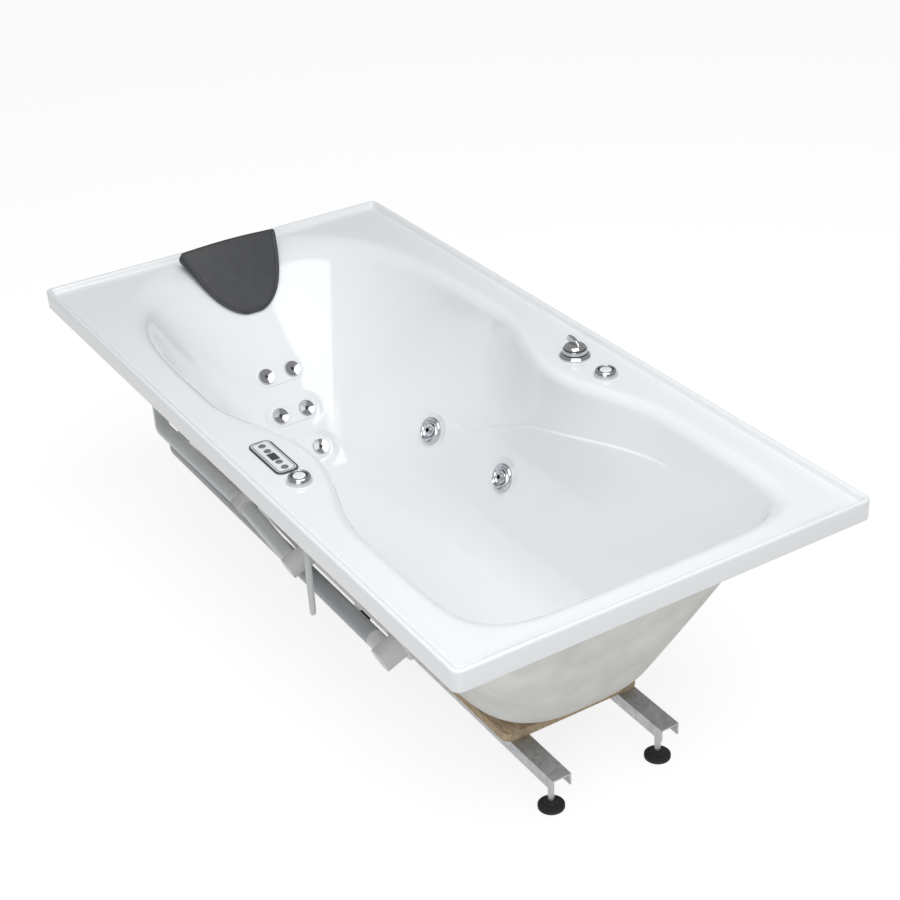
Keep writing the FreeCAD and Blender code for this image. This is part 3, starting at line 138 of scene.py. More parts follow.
def plainFinish(name, colour, roughness, metallic=0.0, grain=0.0, grainScale=400.0, tint=0.04,
                tintScale=14.0, coat=0.0):
    # a colour that drifts a little over the surface, with a fine grain in roughness and height
    material, nodes, links = newMaterial(name)
    shader = nodes["Principled BSDF"]
    place = nodes.new("ShaderNodeTexCoord")
    drift = nodes.new("ShaderNodeTexNoise")
    drift.inputs["Scale"].default_value = tintScale
    drift.inputs["Detail"].default_value = 3
    links.new(place.outputs["Object"], drift.inputs["Vector"])
    shades = nodes.new("ShaderNodeValToRGB")
    shades.color_ramp.elements[0].position = 0.3
    shades.color_ramp.elements[1].position = 0.7
    shades.color_ramp.elements[0].color = [c * (1 - tint) for c in colour] + [1]
    shades.color_ramp.elements[1].color = [min(1, c * (1 + tint)) for c in colour] + [1]
    links.new(drift.outputs["Fac"], shades.inputs["Fac"])
    links.new(shades.outputs["Color"], shader.inputs["Base Color"])
    fine = nodes.new("ShaderNodeTexNoise")
    fine.inputs["Scale"].default_value = grainScale
    fine.inputs["Detail"].default_value = 4
    links.new(place.outputs["Object"], fine.inputs["Vector"])
    wear = nodes.new("ShaderNodeMapRange")
    wear.inputs["To Min"].default_value = roughness * 0.8
    wear.inputs["To Max"].default_value = min(1.0, roughness * 1.25)
    links.new(fine.outputs["Fac"], wear.inputs["Value"])
    links.new(wear.outputs["Result"], shader.inputs["Roughness"])
    if grain > 0:
        bump = nodes.new("ShaderNodeBump")
        bump.inputs["Strength"].default_value = 0.6
        bump.inputs["Distance"].default_value = grain
        links.new(fine.outputs["Fac"], bump.inputs["Height"])
        links.new(bump.outputs["Normal"], shader.inputs["Normal"])
    shader.inputs["Metallic"].default_value = metallic
    shader.inputs["Coat Weight"].default_value = coat
    shader.inputs["Coat Roughness"].default_value = 0.05
    return material


acrylic = plainFinish("acrylic", (0.85, 0.872, 0.89), 0.10, grain=0.00002, grainScale=90,
                      tint=0.006, tintScale=5, coat=0.25)
laminate = plainFinish("laminate", (0.78, 0.78, 0.75), 0.75, grain=0.0008, grainScale=160, tint=0.08)
chrome = plainFinish("chrome", (0.60, 0.61, 0.63), 0.09, metallic=1.0, tint=0.02)
pearl = plainFinish("pearlPlastic", (0.78, 0.80, 0.82), 0.28, grain=0.00003, grainScale=700)
cushionSkin = plainFinish("cushionSkin", (0.044, 0.046, 0.050), 0.52, grain=0.00025, grainScale=900,
                          tint=0.12, tintScale=40)
bezelPlastic = plainFinish("bezelPlastic", (0.05, 0.055, 0.06), 0.35, grain=0.00004, grainScale=800)
displayGlass = plainFinish("displayGlass", (0.015, 0.02, 0.025), 0.06, tint=0.1, coat=1.0)
keyPlastic = plainFinish("keyPlastic", (0.16, 0.17, 0.18), 0.4, grain=0.00003, grainScale=800)
greyPipe = plainFinish("greyPipe", (0.42, 0.44, 0.46), 0.38, grain=0.00005, grainScale=300)
whitePipe = plainFinish("whitePipe", (0.72, 0.73, 0.73), 0.35, grain=0.00004, grainScale=300)
hoseSkin = plainFinish("hoseSkin", (0.62, 0.65, 0.66), 0.3, grain=0.0001, grainScale=240, coat=0.3)
# dark rubber for the pads, mounts, pegs and gland; the same finish paints the shade into the controls'
# grooves
rubber = plainFinish("rubber", (0.022, 0.022, 0.024), 0.7, grain=0.0002, grainScale=500)
pumpCase = plainFinish("pumpCase", (0.035, 0.038, 0.042), 0.45, grain=0.00012, grainScale=450)
motorPaint = plainFinish("motorPaint", (0.12, 0.14, 0.16), 0.42, grain=0.0001, grainScale=500)
boxPlastic = plainFinish("boxPlastic", (0.58, 0.59, 0.6), 0.45, grain=0.00008, grainScale=600)


def zincFinish():
    # galvanised steel: cells of slightly different grey with a faint bump
    material, nodes, links = newMaterial("zinc")
    shader = nodes["Principled BSDF"]
    place = nodes.new("ShaderNodeTexCoord")
    cells = nodes.new("ShaderNodeTexVoronoi")
    cells.inputs["Scale"].default_value = 90
    links.new(place.outputs["Object"], cells.inputs["Vector"])
    shades = nodes.new("ShaderNodeValToRGB")
    shades.color_ramp.elements[0].color = (0.42, 0.43, 0.44, 1)
    shades.color_ramp.elements[1].color = (0.58, 0.59, 0.60, 1)
    links.new(cells.outputs["Color"], shades.inputs["Fac"])
    links.new(shades.outputs["Color"], shader.inputs["Base Color"])
    shader.inputs["Metallic"].default_value = 0.9
    shader.inputs["Roughness"].default_value = 0.42
    return material


def boardFinish():
    # pressed board: long and short flakes from two stretched noises
    material, nodes, links = newMaterial("pressedBoard")
    shader = nodes["Principled BSDF"]
    place = nodes.new("ShaderNodeTexCoord")
    stretch = nodes.new("ShaderNodeMapping")
    stretch.inputs["Scale"].default_value = (60, 160, 160)
    flakes = nodes.new("ShaderNodeTexVoronoi")
    flakes.inputs["Scale"].default_value = 1.0
    links.new(place.outputs["Object"], stretch.inputs["Vector"])
    links.new(stretch.outputs["Vector"], flakes.inputs["Vector"])
    shades = nodes.new("ShaderNodeValToRGB")
    shades.color_ramp.elements[0].color = (0.42, 0.31, 0.19, 1)
    shades.color_ramp.elements[1].color = (0.66, 0.53, 0.37, 1)
    links.new(flakes.outputs["Color"], shades.inputs["Fac"])
    links.new(shades.outputs["Color"], shader.inputs["Base Color"])
    bump = nodes.new("ShaderNodeBump")
    bump.inputs["Distance"].default_value = 0.0002
    bump.inputs["Strength"].default_value = 0.5
    links.new(flakes.outputs["Distance"], bump.inputs["Height"])
    links.new(bump.outputs["Normal"], shader.inputs["Normal"])
    shader.inputs["Roughness"].default_value = 0.75
    return material


zinc = zincFinish()
pressedBoard = boardFinish()

nodeFinish = {
    "side_jet_ring": chrome, "side_jet_ball": chrome, "side_jet_nuts": whitePipe,
    "side_jet_bodies": whitePipe, "back_jet_faces": chrome, "back_jet_bodies": whitePipe,
    "side_water_hoses": hoseSkin, "air_hoses": hoseSkin, "back_water_hoses": hoseSkin,
    "base_board": pressedBoard, "cradle_rail": zinc, "foot_pads": rubber,
    "levelling_studs": zinc, "levelling_nuts": zinc, "rim_batten": pressedBoard,
    "headrest_pegs": rubber, "keypad_bezel": bezelPlastic, "keypad_display": displayGlass,
    "keypad_key": keyPlastic, "air_valve_bodies": whitePipe, "air_knob": chrome,
    "diverter_flange": chrome, "diverter_body": whitePipe, "diverter_handle": chrome,
    "waste_fitting": chrome, "waste_nut": greyPipe, "waste_plug": chrome,
    "suction_body": whitePipe, "suction_nut": whitePipe, "suction_cover": chrome,
    "suction_screw": chrome, "pump_board": pressedBoard, "pump_plate": zinc,
    "pump_mounts": rubber, "pump_motor": motorPaint, "pump_fan_cover": pumpCase,
    "pump_volute": pumpCase, "pump_rotor": whitePipe, "outlet_tee": greyPipe,
    "suction_pipe": greyPipe, "control_box": boxPlastic, "cable_gland": rubber,
    "bath_shell": acrylic, "headrest_pad": cushionSkin,
}
for nodeName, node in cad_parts.items():
    finish = next(nodeFinish[key] for key in sorted(nodeFinish, key=len, reverse=True)
                  if nodeName.startswith(key))
    if not node.material_slots:
        node.data.materials.append(finish)
    for holder in node.material_slots:
        holder.material = finish
print("finishes made")

# basin: one formula for the inside and the outside

basin = {
    "length": 1.700, "width": 0.840, "rimTop": 0.550, "deck": 0.538, "floor": 0.115,
    "depth": 0.423, "wall": 0.006, "roll": 0.022, "headGap": 0.038, "headReach": 0.350,
    "footGap": 0.070, "footReach": 0.170, "halfWidth": 0.331, "sideReach": 0.155,
    "wallDepth": 0.393, "headRound": 0.075, "sideRound": 0.055, "podCentre": 0.110,
    "podHalfLength": 0.300, "podBulge": 0.070, "podDepth": 0.230,
}


def rolled(depth):
    # the top edge leans outwards as a quarter circle
    up = np.clip(basin["roll"] - depth, 0, basin["roll"])
    return basin["roll"] - np.sqrt(basin["roll"] ** 2 - up ** 2)


def floorRound(depth, radius):
    # the wall's foot draws in as a quarter circle
    rise = np.clip(depth - (basin["depth"] - radius), 0, radius)
    return radius - np.sqrt(radius ** 2 - rise ** 2)


def basinLimits(depth, outset=0.0):
    # half width, head end and foot end of the hollow at a depth under the deck
    fall = np.clip(depth / basin["wallDepth"], 0, None)
    side = (basin["halfWidth"] - basin["sideReach"] * fall ** 1.1 + rolled(depth)
            - floorRound(depth, basin["sideRound"]) + outset)
    head = (basin["headGap"] - basin["length"] / 2 + basin["headReach"] * fall ** 0.7
            + floorRound(depth, basin["headRound"]) - rolled(depth) - outset)
    foot = (basin["length"] / 2 - basin["footGap"] - basin["footReach"] * fall ** 1.1
            + rolled(depth) - floorRound(depth, basin["sideRound"]) + outset)
    return side, head, foot


def basinOutline(depth, share, outset=0.0):
    # share 0 to 1 is the head's quarter of a superellipse, 1 to 2 the side, 2 to 3 the foot's
    depth, share = np.broadcast_arrays(np.asarray(depth, float), np.asarray(share, float))
    side, head, foot = basinLimits(depth, outset)
    lift = depth / basin["depth"]
    headMiddle = mix(-0.200, 0.220, lift)
    footMiddle = foot - mix(0.330, 0.200, lift)
    headPower = 2 / mix(3.0, 2.7, lift)
    footPower = 2 / mix(6.0, 3.0, lift)
    headAngle = np.clip(share, 0, 1) * math.pi / 2
    footAngle = np.clip(share - 2, 0, 1) * math.pi / 2
    headX = headMiddle - (headMiddle - head) * np.clip(np.cos(headAngle), 0, 1) ** headPower
    headY = side * np.sin(headAngle) ** headPower
    footX = footMiddle + (foot - footMiddle) * np.sin(footAngle) ** footPower
    footY = side * np.clip(np.cos(footAngle), 0, 1) ** footPower
    x = np.where(share <= 1, headX, np.where(share <= 2, mix(headMiddle, footMiddle, share - 1), footX))
    y = np.where(share <= 1, headY, np.where(share <= 2, side, footY))
    offset = np.clip((x - basin["podCentre"]) / basin["podHalfLength"], -1, 1)
    fade = np.clip(1 - depth / basin["podDepth"], 0, 1)
    return x, y - np.where(y > 0.1, basin["podBulge"] * fade * np.cos(math.pi / 2 * offset) ** 2, 0)


keypad = {
    "place": (0.097, -0.338, 0.538), "halfLong": 0.065, "halfWide": 0.023, "corner": 0.014,
    "thick": 0.003, "bodyLong": 0.055, "bodyWide": 0.018, "bodyDepth": 0.022,
    "keys": (-0.0455, -0.0234, 0.0234, 0.0455), "keyHole": 0.0071, "keyDeep": 0.0028,
    "window": (0.0131, 0.0081), "windowDeep": 0.0015, "opening": (0.0553, 0.0183),
}

columns = {"head": 70, "corner": 8, "side": 140, "foot": 60, "cornerRun": 0.020,
           "headCornerShare": 0.42, "footCornerShare": 2.49, "measuredAt": 0.10}


def columnShares():
    # shares spaced evenly along the wall, with a node where each rim corner's mitre starts
    step = (1 - np.cos(np.linspace(0, math.pi, 1500))) / 2
    dense = np.concatenate([step, 1 + step[1:], 2 + step[1:]])
    x, y = basinOutline(columns["measuredAt"], dense)
    travel = np.concatenate([[0], np.cumsum(np.hypot(np.diff(x), np.diff(y)))])
    headCorner = np.interp(columns["headCornerShare"], dense, travel)
    footCorner = np.interp(columns["footCornerShare"], dense, travel)
    run = columns["cornerRun"]
    stops = [0, headCorner - run, headCorner + run, footCorner - run, footCorner + run, travel[-1]]
    counts = [columns["head"], columns["corner"], columns["side"], columns["corner"], columns["foot"]]
    legs = [np.linspace(a, b, n + 1)[:-1] for a, b, n in zip(stops, stops[1:], counts)]
    wanted = np.concatenate(legs + [[travel[-1]]])
    return np.interp(wanted, travel, dense)


shares = columnShares()


def wholeRing(x, y):
    # the far half, then the near half mirrored back to the head
    return np.concatenate([x, x[..., -2:0:-1]], -1), np.concatenate([y, -y[..., -2:0:-1]], -1)


def rimRing(inset, corner):
    # a rounded rectangle inside the rim's outline, with as many points as the basin's ring
    halfLong = basin["length"] / 2 - inset
    halfWide = basin["width"] / 2 - inset
    turn = np.linspace(0, math.pi / 2, columns["corner"] + 1)[:-1]
    headX = np.full(columns["head"], -halfLong)
    headY = np.linspace(0, halfWide - corner, columns["head"] + 1)[:-1]
    turnX = -halfLong + corner - corner * np.cos(turn)
    turnY = halfWide - corner + corner * np.sin(turn)
    sideX = np.linspace(-halfLong + corner, halfLong - corner, columns["side"] + 1)[:-1]
    sideY = np.full(columns["side"], halfWide)
    lastX = halfLong - corner + corner * np.sin(turn)
    lastY = halfWide - corner + corner * np.cos(turn)
    footX = np.full(columns["foot"] + 1, halfLong)
    footY = np.linspace(halfWide - corner, 0, columns["foot"] + 1)
    return wholeRing(np.concatenate([headX, turnX, sideX, lastX, footX]),
                     np.concatenate([headY, turnY, sideY, lastY, footY]))


ledge = {"nominal": 0.150, "band": 0.012, "top": 0.022, "bottom": 0.348, "step": 0.0065,
         "fade": 0.110, "start": -0.33, "full": -0.16, "easing": 0.34, "end": 0.47}


def ledgeDepth(x):
    # the armrest's crease rises towards the foot along a shallow parabola
    x = np.clip(x, -0.30, 0.42)
    return 0.155 - 0.26 * x + 0.2 * x ** 2


def warpedDepth(depth, crease):
    # moves the row at the nominal depth on to the crease, and spreads the others between
    low, high, band = ledge["top"], ledge["bottom"], ledge["band"]
    above = low + (depth - low) * (crease - band - low) / (ledge["nominal"] - band - low)
    below = high - (high - depth) * (high - crease - band) / (high - ledge["nominal"] - band)
    near = crease + depth - ledge["nominal"]
    moved = np.where(depth < ledge["nominal"] - band, above,
                     np.where(depth > ledge["nominal"] + band, below, near))
    return np.where((depth <= low) | (depth >= high), depth, moved)


def wallRows():
    # depths for the rows: fine on both rounds and beside the crease
    roll = basin["roll"] * (1 - np.cos(np.linspace(0, math.pi / 2, 11)))
    upper = np.linspace(ledge["top"], ledge["nominal"] - ledge["band"], 15)[1:]
    crease = ledge["nominal"] + np.array([-0.006, -0.002, -0.0005, 0.0006, 0.0016, 0.003, 0.006])
    lower = np.linspace(ledge["nominal"] + ledge["band"], ledge["bottom"], 24)
    foot = basin["depth"] - basin["headRound"] * (1 - np.sin(np.linspace(0, math.pi / 2, 16)))[1:]
    return np.concatenate([roll, upper, crease, lower, foot])


def flatten(points, centre, normal, inner, outer, level=0.0, half=0.0):
    # draws the skin on to a plane near a fitting; half makes the round land an oblong one
    offset = points - np.asarray(centre)
    height = offset @ normal
    across = axesOf(normal)[0]
    along = offset @ across
    flat = offset - height[..., None] * normal - np.clip(along, -half, half)[..., None] * across
    hold = (1 - smoothStep(inner, outer, np.linalg.norm(flat, axis=-1))) * (np.abs(height) < 0.03)
    return points - (hold * (height - level))[..., None] * normal


sideJets = {"land": 0.034, "landEdge": 0.044, "hole": 0.0233,
            "backLand": 0.036, "backEdge": 0.048, "backLevel": -0.009}
backJets = {
    "spacing": 0.066, "hole": 0.0123, "land": 0.028, "landEdge": 0.040, "level": -0.002,
    "backLand": 0.026, "backEdge": 0.038, "backLevel": -0.014,
    "sites": (((-0.5798, 0, 0.3235), (0.801, 0, 0.598)),
              ((-0.5250, 0, 0.2464), (0.827, 0, 0.563)),
              ((-0.4714, 0, 0.1697), (0.726, 0, 0.687))),
}
sideSites = [((-0.2601, -0.2049, 0.2495), (0.129, 0.880, 0.457)),
             ((0.0, -0.2215, 0.2496), (0.010, 0.918, 0.395)),
             ((-0.2601, 0.2049, 0.2495), (0.129, -0.880, 0.457)),
             ((0.0, 0.2215, 0.2496), (0.010, -0.918, 0.395))]
suctionSite = ((0.300, -0.1976, 0.1926), (0, 0.919, 0.394))
suction = {"land": 0.054, "landEdge": 0.064, "backLand": 0.042, "backEdge": 0.054,
           "backLevel": -0.009, "hole": 0.0263}
waste = {"place": 0.400, "hole": 0.0263}


def insideRows():
    # the outline at each row's depth, drawn in below the crease, and flat where a fitting sits
    depth = wallRows()
    x, y = basinOutline(columns["measuredAt"], shares)
    crease = ledgeDepth(x)
    warped = warpedDepth(depth[:, None], crease[None, :])
    x, y = basinOutline(warped, shares[None, :])
    below = warped - crease[None, :]
    reach = (smoothStep(ledge["start"], ledge["full"], x)
             * (1 - smoothStep(ledge["easing"], ledge["end"], x)) * (shares > 0.3) * (shares < 2.7))
    stand = ledge["step"] * reach * smoothStep(-0.0006, 0.0018, below)
    stand = stand * (1 - smoothStep(0, ledge["fade"], below))
    y = y - stand * (np.abs(y) > 0.05)
    x, y = wholeRing(x, y)
    z = basin["deck"] - wholeRing(warped, warped)[0]
    points = np.stack([x, y, z], -1)
    for centre, normal in sideSites:
        points = flatten(points, centre, unit(normal), sideJets["land"], sideJets["landEdge"])
    points = flatten(points, suctionSite[0], unit(suctionSite[1]), suction["land"], suction["landEdge"])
    for centre, normal in backJets["sites"]:
        points = flatten(points, centre, unit(normal), backJets["land"], backJets["landEdge"],
                         backJets["level"], backJets["spacing"] / 2)
    return points


def floorRows(edge, level, count):
    # rings that shrink from the wall's foot on to the waste hole
    angle = np.arctan2(edge[:, 1], edge[:, 0] - waste["place"])
    hole = np.stack([waste["place"] + waste["hole"] * np.cos(angle),
                     waste["hole"] * np.sin(angle), np.full(len(edge), level)], -1)
    rings = [mix(edge, hole, share) for share in np.linspace(0, 1, count + 1)[1:]]
    rings = np.stack(rings)
    rings[..., 2] = level
    return rings


rim = {"corner": 0.016, "lipBottom": 0.510, "cove": 0.024, "coveRise": 0.0022, "deckRows": 6}


def rimProfile():
    # inset from the outer face and height: lip's underside, lip, bead and its inner slope
    top, low = basin["rimTop"], rim["lipBottom"]
    return roundedProfile([
        (basin["wall"], low, 0), (0.0, low, 0.0015), (0.0, top, 0.0045), (0.0095, top, 0.004),
        (0.0150, 0.5388, 0.0035), (0.0185, basin["deck"], 0)], 5)


def rimRows():
    # the rim's section carried round a rounded rectangle
    rows = []
    for inset, height in rimProfile():
        x, y = rimRing(inset, max(rim["corner"] - inset, 0.0025))
        rows.append(np.stack([x, y, np.full_like(x, height)], -1))
    return np.stack(rows)


def deckRows(outer, inner):
    # from the bead's foot to the basin's edge, with a slight fall near the bead
    shareOf = np.linspace(0, 1, rim["deckRows"] + 2)[1:-1] ** 1.6
    rows = outer[None] + (inner - outer)[None] * shareOf[:, None, None]
    span = np.linalg.norm(inner - outer, axis=-1)
    gone = span[None] * shareOf[:, None]
    lift = rim["coveRise"] * np.clip(1 - gone / rim["cove"], 0, 1) ** 2
    rows[..., 2] = basin["deck"] + lift * smoothStep(0.02, 0.08, span)[None]
    return rows


def outsideRows():
    # the outline one wall thickness out, flat under nuts and bosses
    wall = basin["wall"]
    depth = np.concatenate([np.linspace(wall, 0.022, 4), np.linspace(0.030, 0.350, 16),
                            basin["depth"] - 0.073 * (1 - np.sin(np.linspace(0.15, math.pi / 2, 8)))])
    x, y = basinOutline(depth[:, None], shares[None, :], wall)
    x, y = wholeRing(x, y)
    z = np.broadcast_to((basin["deck"] - depth)[:, None], x.shape)
    points = np.stack([x, y, z], -1)
    last = points[-1] * (1, 1, 0) + (0, 0, basin["floor"] - wall)
    last[:, :2] *= 0.985
    points = np.concatenate([points, last[None]])
    for centre, normal in sideSites:
        points = flatten(points, centre, unit(normal), sideJets["backLand"], sideJets["backEdge"],
                         sideJets["backLevel"])
    points = flatten(points, suctionSite[0], unit(suctionSite[1]), suction["backLand"],
                     suction["backEdge"], suction["backLevel"])
    for centre, normal in backJets["sites"]:
        points = flatten(points, centre, unit(normal), backJets["backLand"], backJets["backEdge"],
                         backJets["backLevel"], backJets["spacing"] / 2)
    return points


def makeShell():
    # one closed skin: floor, inside wall, deck, rim, lip's inside, underside, outside wall and back
    inside = insideRows()
    outside = outsideRows()
    edge = rimRows()
    wall = basin["wall"]
    underX, underY = rimRing(wall, rim["corner"] - wall)
    lipInside = [np.stack([underX, underY, np.full_like(underX, z)], -1) for z in (0.520, 0.5305, 0.532)]
    lipInside[2][:, :2] *= 0.9985
    shareOf = np.linspace(0, 1, 6)[1:-1, None, None]
    under = lipInside[2][None] + (outside[0] - lipInside[2])[None] * shareOf
    rows = [
        floorRows(inside[-1], basin["floor"], 16)[::-1], inside[::-1],
        deckRows(edge[-1], inside[0])[::-1], edge[::-1], np.stack(lipInside), under, outside,
        floorRows(outside[-1], basin["floor"] - wall, 8)]
    points = np.concatenate(rows)
    backFrom = sum(len(r) for r in rows[:5])
    shell = gridPiece("acrylicShell", points, acrylic, "bath", wrapRows=True, sharp=50)
    shell.data.materials.append(laminate)
    for face in shell.data.polygons:
        if face.center.z < 0.5305 and max(face.vertices) >= backFrom * points.shape[1]:
            face.material_index = 1
    print("shell grid", points.shape, "triangles", 2 * points.shape[0] * points.shape[1])
    return shell


# how far a cutter reaches behind and in front of its place; x, y and radius of the deck's holes
cutReach = (-0.03, 0.02)
deckHoles = ((0.200, -0.338, 0.0133), (0.200, 0.338, 0.0133), (0.097, 0.338, 0.0183))


def cylinderCutter(centre, normal, radius, back, front, steps=48):
    # a closed cylinder along the normal, from behind its place to in front of it
    profile = np.array([(0, back), (radius, back), (radius, front), (0, front)])
    return turnedPoints(profile, centre, unit(normal), steps)


def cutHoles(piece, cutters):
    # every hole in one exact difference, and the cutters are then removed
    points, faces, start = [], [], 0
    for cutter in cutters:
        rows, steps = cutter.shape[:2]
        points.append(cutter.reshape(-1, 3))
        faces.append(gridFaces(rows, steps, False, True) + start)
        start += rows * steps
    mesh = bpy.data.meshes.new("cutters")
    mesh.from_pydata(np.concatenate(points).tolist(), [], np.concatenate(faces).tolist())
    shape = bmesh.new()
    shape.from_mesh(mesh)
    bmesh.ops.remove_doubles(shape, verts=shape.verts, dist=1e-6)
    bmesh.ops.recalc_face_normals(shape, faces=shape.faces)
    shape.to_mesh(mesh)
    shape.free()
    tool = bpy.data.objects.new("cutters", mesh)
    bpy.context.scene.collection.objects.link(tool)
    cut = piece.modifiers.new("holes", "BOOLEAN")
    cut.operation = "DIFFERENCE"
    cut.solver = "EXACT"
    cut.object = tool
    bpy.context.view_layer.update()
    graph = bpy.context.evaluated_depsgraph_get()
    made = bpy.data.meshes.new_from_object(piece.evaluated_get(graph))
    piece.modifiers.clear()
    piece.data = made
    bpy.data.objects.remove(tool)
    made.set_sharp_from_angle(angle=math.radians(50))


def platePoints(centre, profile, halfLong, halfWide, corner):
    # rounded rectangles, each drawn in by an inset and raised to a height, closed at both middles
    turn = np.linspace(0, math.pi / 2, 9)
    rings = []
    for inset, height in profile:
        bend = max(corner - inset, 0.0004)
        spots = []
        for quarter, (signX, signY) in enumerate(((1, 1), (-1, 1), (-1, -1), (1, -1))):
            angle = turn + quarter * math.pi / 2
            spots.append(np.stack([signX * (halfLong - inset - bend) + bend * np.cos(angle),
                                   signY * (halfWide - inset - bend) + bend * np.sin(angle),
                                   np.full(9, height)], -1))
        rings.append(np.concatenate(spots))
    rings = [rings[0] * 0 + rings[0].mean(0)] + rings + [rings[-1] * 0 + rings[-1].mean(0)]
    return np.asarray(centre) + np.stack(rings)


def jetHoles():
    # a cutter for each fitting that goes through the skin
    cutters = []
    for centre, normal in sideSites:
        cutters.append(cylinderCutter(centre, normal, sideJets["hole"], *cutReach))
    cutters.append(cylinderCutter(*suctionSite, suction["hole"], *cutReach))
    for centre, normal in backJets["sites"]:
        across = axesOf(unit(normal))[0]
        for side in (-0.5, 0.5):
            spot = np.array(centre) + across * side * backJets["spacing"]
            cutters.append(cylinderCutter(spot, normal, backJets["hole"], *cutReach))
    for x, y, radius in deckHoles:
        cutters.append(cylinderCutter((x, y, 0.535), (0, 0, 1), radius, -0.02, 0.02))
    cutters.append(platePoints(keypad["place"], [(0, cutReach[0]), (0, cutReach[1])],
                               *keypad["opening"], 0.001))
    return cutters


shell = makeShell()
cutHoles(shell, jetHoles())
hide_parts("bath_shell")
print("shell ready,", len(shell.data.polygons), "faces")

# oblong pads under the back jets

padShape = {"radius": 0.025, "round": 0.0024, "skirt": -0.0065}


def padPoints(centre, normal):
    # rings at growing distance from the pair's middle line, then down round the edge
    across, upward, outward = axesOf(unit(normal))
    half = backJets["spacing"] / 2
    turn = np.linspace(-math.pi / 2, math.pi / 2, 25)
    straight = np.linspace(-1, 1, 9)[1:-1]
    middle = np.concatenate([np.full(25, half), -straight * half, np.full(25, -half), straight * half])
    outX = np.concatenate([np.cos(turn), 0 * straight, -np.cos(turn), 0 * straight])
    outY = np.concatenate([np.sin(turn), 0 * straight + 1, -np.sin(turn), 0 * straight - 1])
    edge, skirt = padShape["radius"], padShape["skirt"]
    profile = roundedProfile([(0, 0, 0), (0.008, 0, 0), (0.016, 0, 0), (edge, 0, padShape["round"]),
                              (edge + 0.0006, skirt, 0), (0, skirt, 0)], 6)
    reach, height = profile[:, :1], profile[:, 1:]
    return (np.asarray(centre) + (middle + reach * outX)[..., None] * across
            + (reach * outY)[..., None] * upward + (height + 0 * outX)[..., None] * outward)


for row, (centre, normal) in enumerate(backJets["sites"], 1):
    pad = gridPiece(f"backPad{row}", padPoints(centre, normal), acrylic, "bath")
    across = axesOf(unit(normal))[0]
    spots = [np.array(centre) + across * side * backJets["spacing"] for side in (-0.5, 0.5)]
    cutHoles(pad, [cylinderCutter(spot, normal, backJets["hole"], *cutReach) for spot in spots])
print("back pads ready")

# side jets: a chrome ring with scooped blades that swirl round the ball

sideRing = {"blades": 5, "swirl": 2.6, "scoop": 0.0042, "inner": 0.0168, "outer": 0.0262}


def ringPoints(centre, normal):
    # a turned section, lowered where a sine of the angle plus a swirl that grows with radius is high
    profile = roundedProfile([
        (0.0151, -0.0044, 0), (0.0189, -0.0044, 0), (0.0189, 0.0026, 0), (0.0299, 0.0026, 0),
        (0.0299, 0.0058, 0.0012), (0.0275, 0.0096, 0.0012), (0.0180, 0.0096, 0.0006),
        (0.0151, 0.0066, 0.0004)], 4)
    top = np.argmax(np.diff(profile[:, 0]) < -0.004)
    extra = np.linspace(profile[top], profile[top + 1], 16)[1:-1]
    profile = np.concatenate([profile[:top + 1], extra, profile[top + 1:]])
    points = turnedPoints(profile, centre, normal, 180)
    angle = np.arange(180) * 2 * math.pi / 180
    radius = profile[:, :1]
    share = np.clip((radius - sideRing["inner"]) / (sideRing["outer"] - sideRing["inner"]), 0, 1)
    wave = 0.5 + 0.5 * np.sin(sideRing["blades"] * angle[None] + sideRing["swirl"] * 2 * share)
    scoop = sideRing["scoop"] * wave ** 1.5 * np.sin(math.pi * share) ** 0.6 * (profile[:, 1:] > 0.006)
    return points - scoop[..., None] * unit(normal)


for number, (centre, normal) in enumerate(sideSites, 1):
    ring = gridPiece(f"jetRing{number}", ringPoints(centre, unit(normal)), chrome,
                     f"side_jet_ring_{number}", wrapRows=True, sharp=35)
    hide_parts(f"side_jet_ring_{number}")
print("side jets ready")

# air controls: a chrome skirt and rim, a groove painted dark as its shade, and a pale cap

knobProfile = [(0, -0.018, 0), (0.006, -0.018, 0.0005), (0.006, 0.0001, 0), (0.0225, 0.0001, 0),
               (0.0225, 0.0048, 0.0012), (0.0196, 0.0106, 0.0022), (0.0158, 0.0114, 0.0012),
               (0.0148, 0.0070, 0.0006), (0.0128, 0.0070, 0.0006), (0.0120, 0.0098, 0.0014),
               (0, 0.0116, 0)]


def paintBand(piece, material, centre, low, high, floorHeight):
    # a second material where a face lies between two radii and above a height
    piece.data.materials.append(material)
    mark = len(piece.data.materials) - 1
    for face in piece.data.polygons:
        offset = np.array(face.center) - np.asarray(centre)
        if low <= math.hypot(offset[0], offset[1]) < high and offset[2] > floorHeight:
            face.material_index = mark


for label, side in (("near", -1), ("far", 1)):
    site = (0.200, side * 0.338, 0.541)
    knob = gridPiece(label + "Knob", turnedPoints(roundedProfile(knobProfile, 5), site, (0, 0, 1), 96),
                     chrome, f"air_knob_{label}", sharp=35)
    # the groove between the rim and the cap is painted dark for its shade
    paintBand(knob, rubber, site, 0.0126, 0.0152, 0.0055)
    paintBand(knob, pearl, site, 0.0, 0.0120, 0.0075)
    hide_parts(f"air_knob_{label}")
print("air controls ready")

# diverter: a stepped dome with a curved finger blade

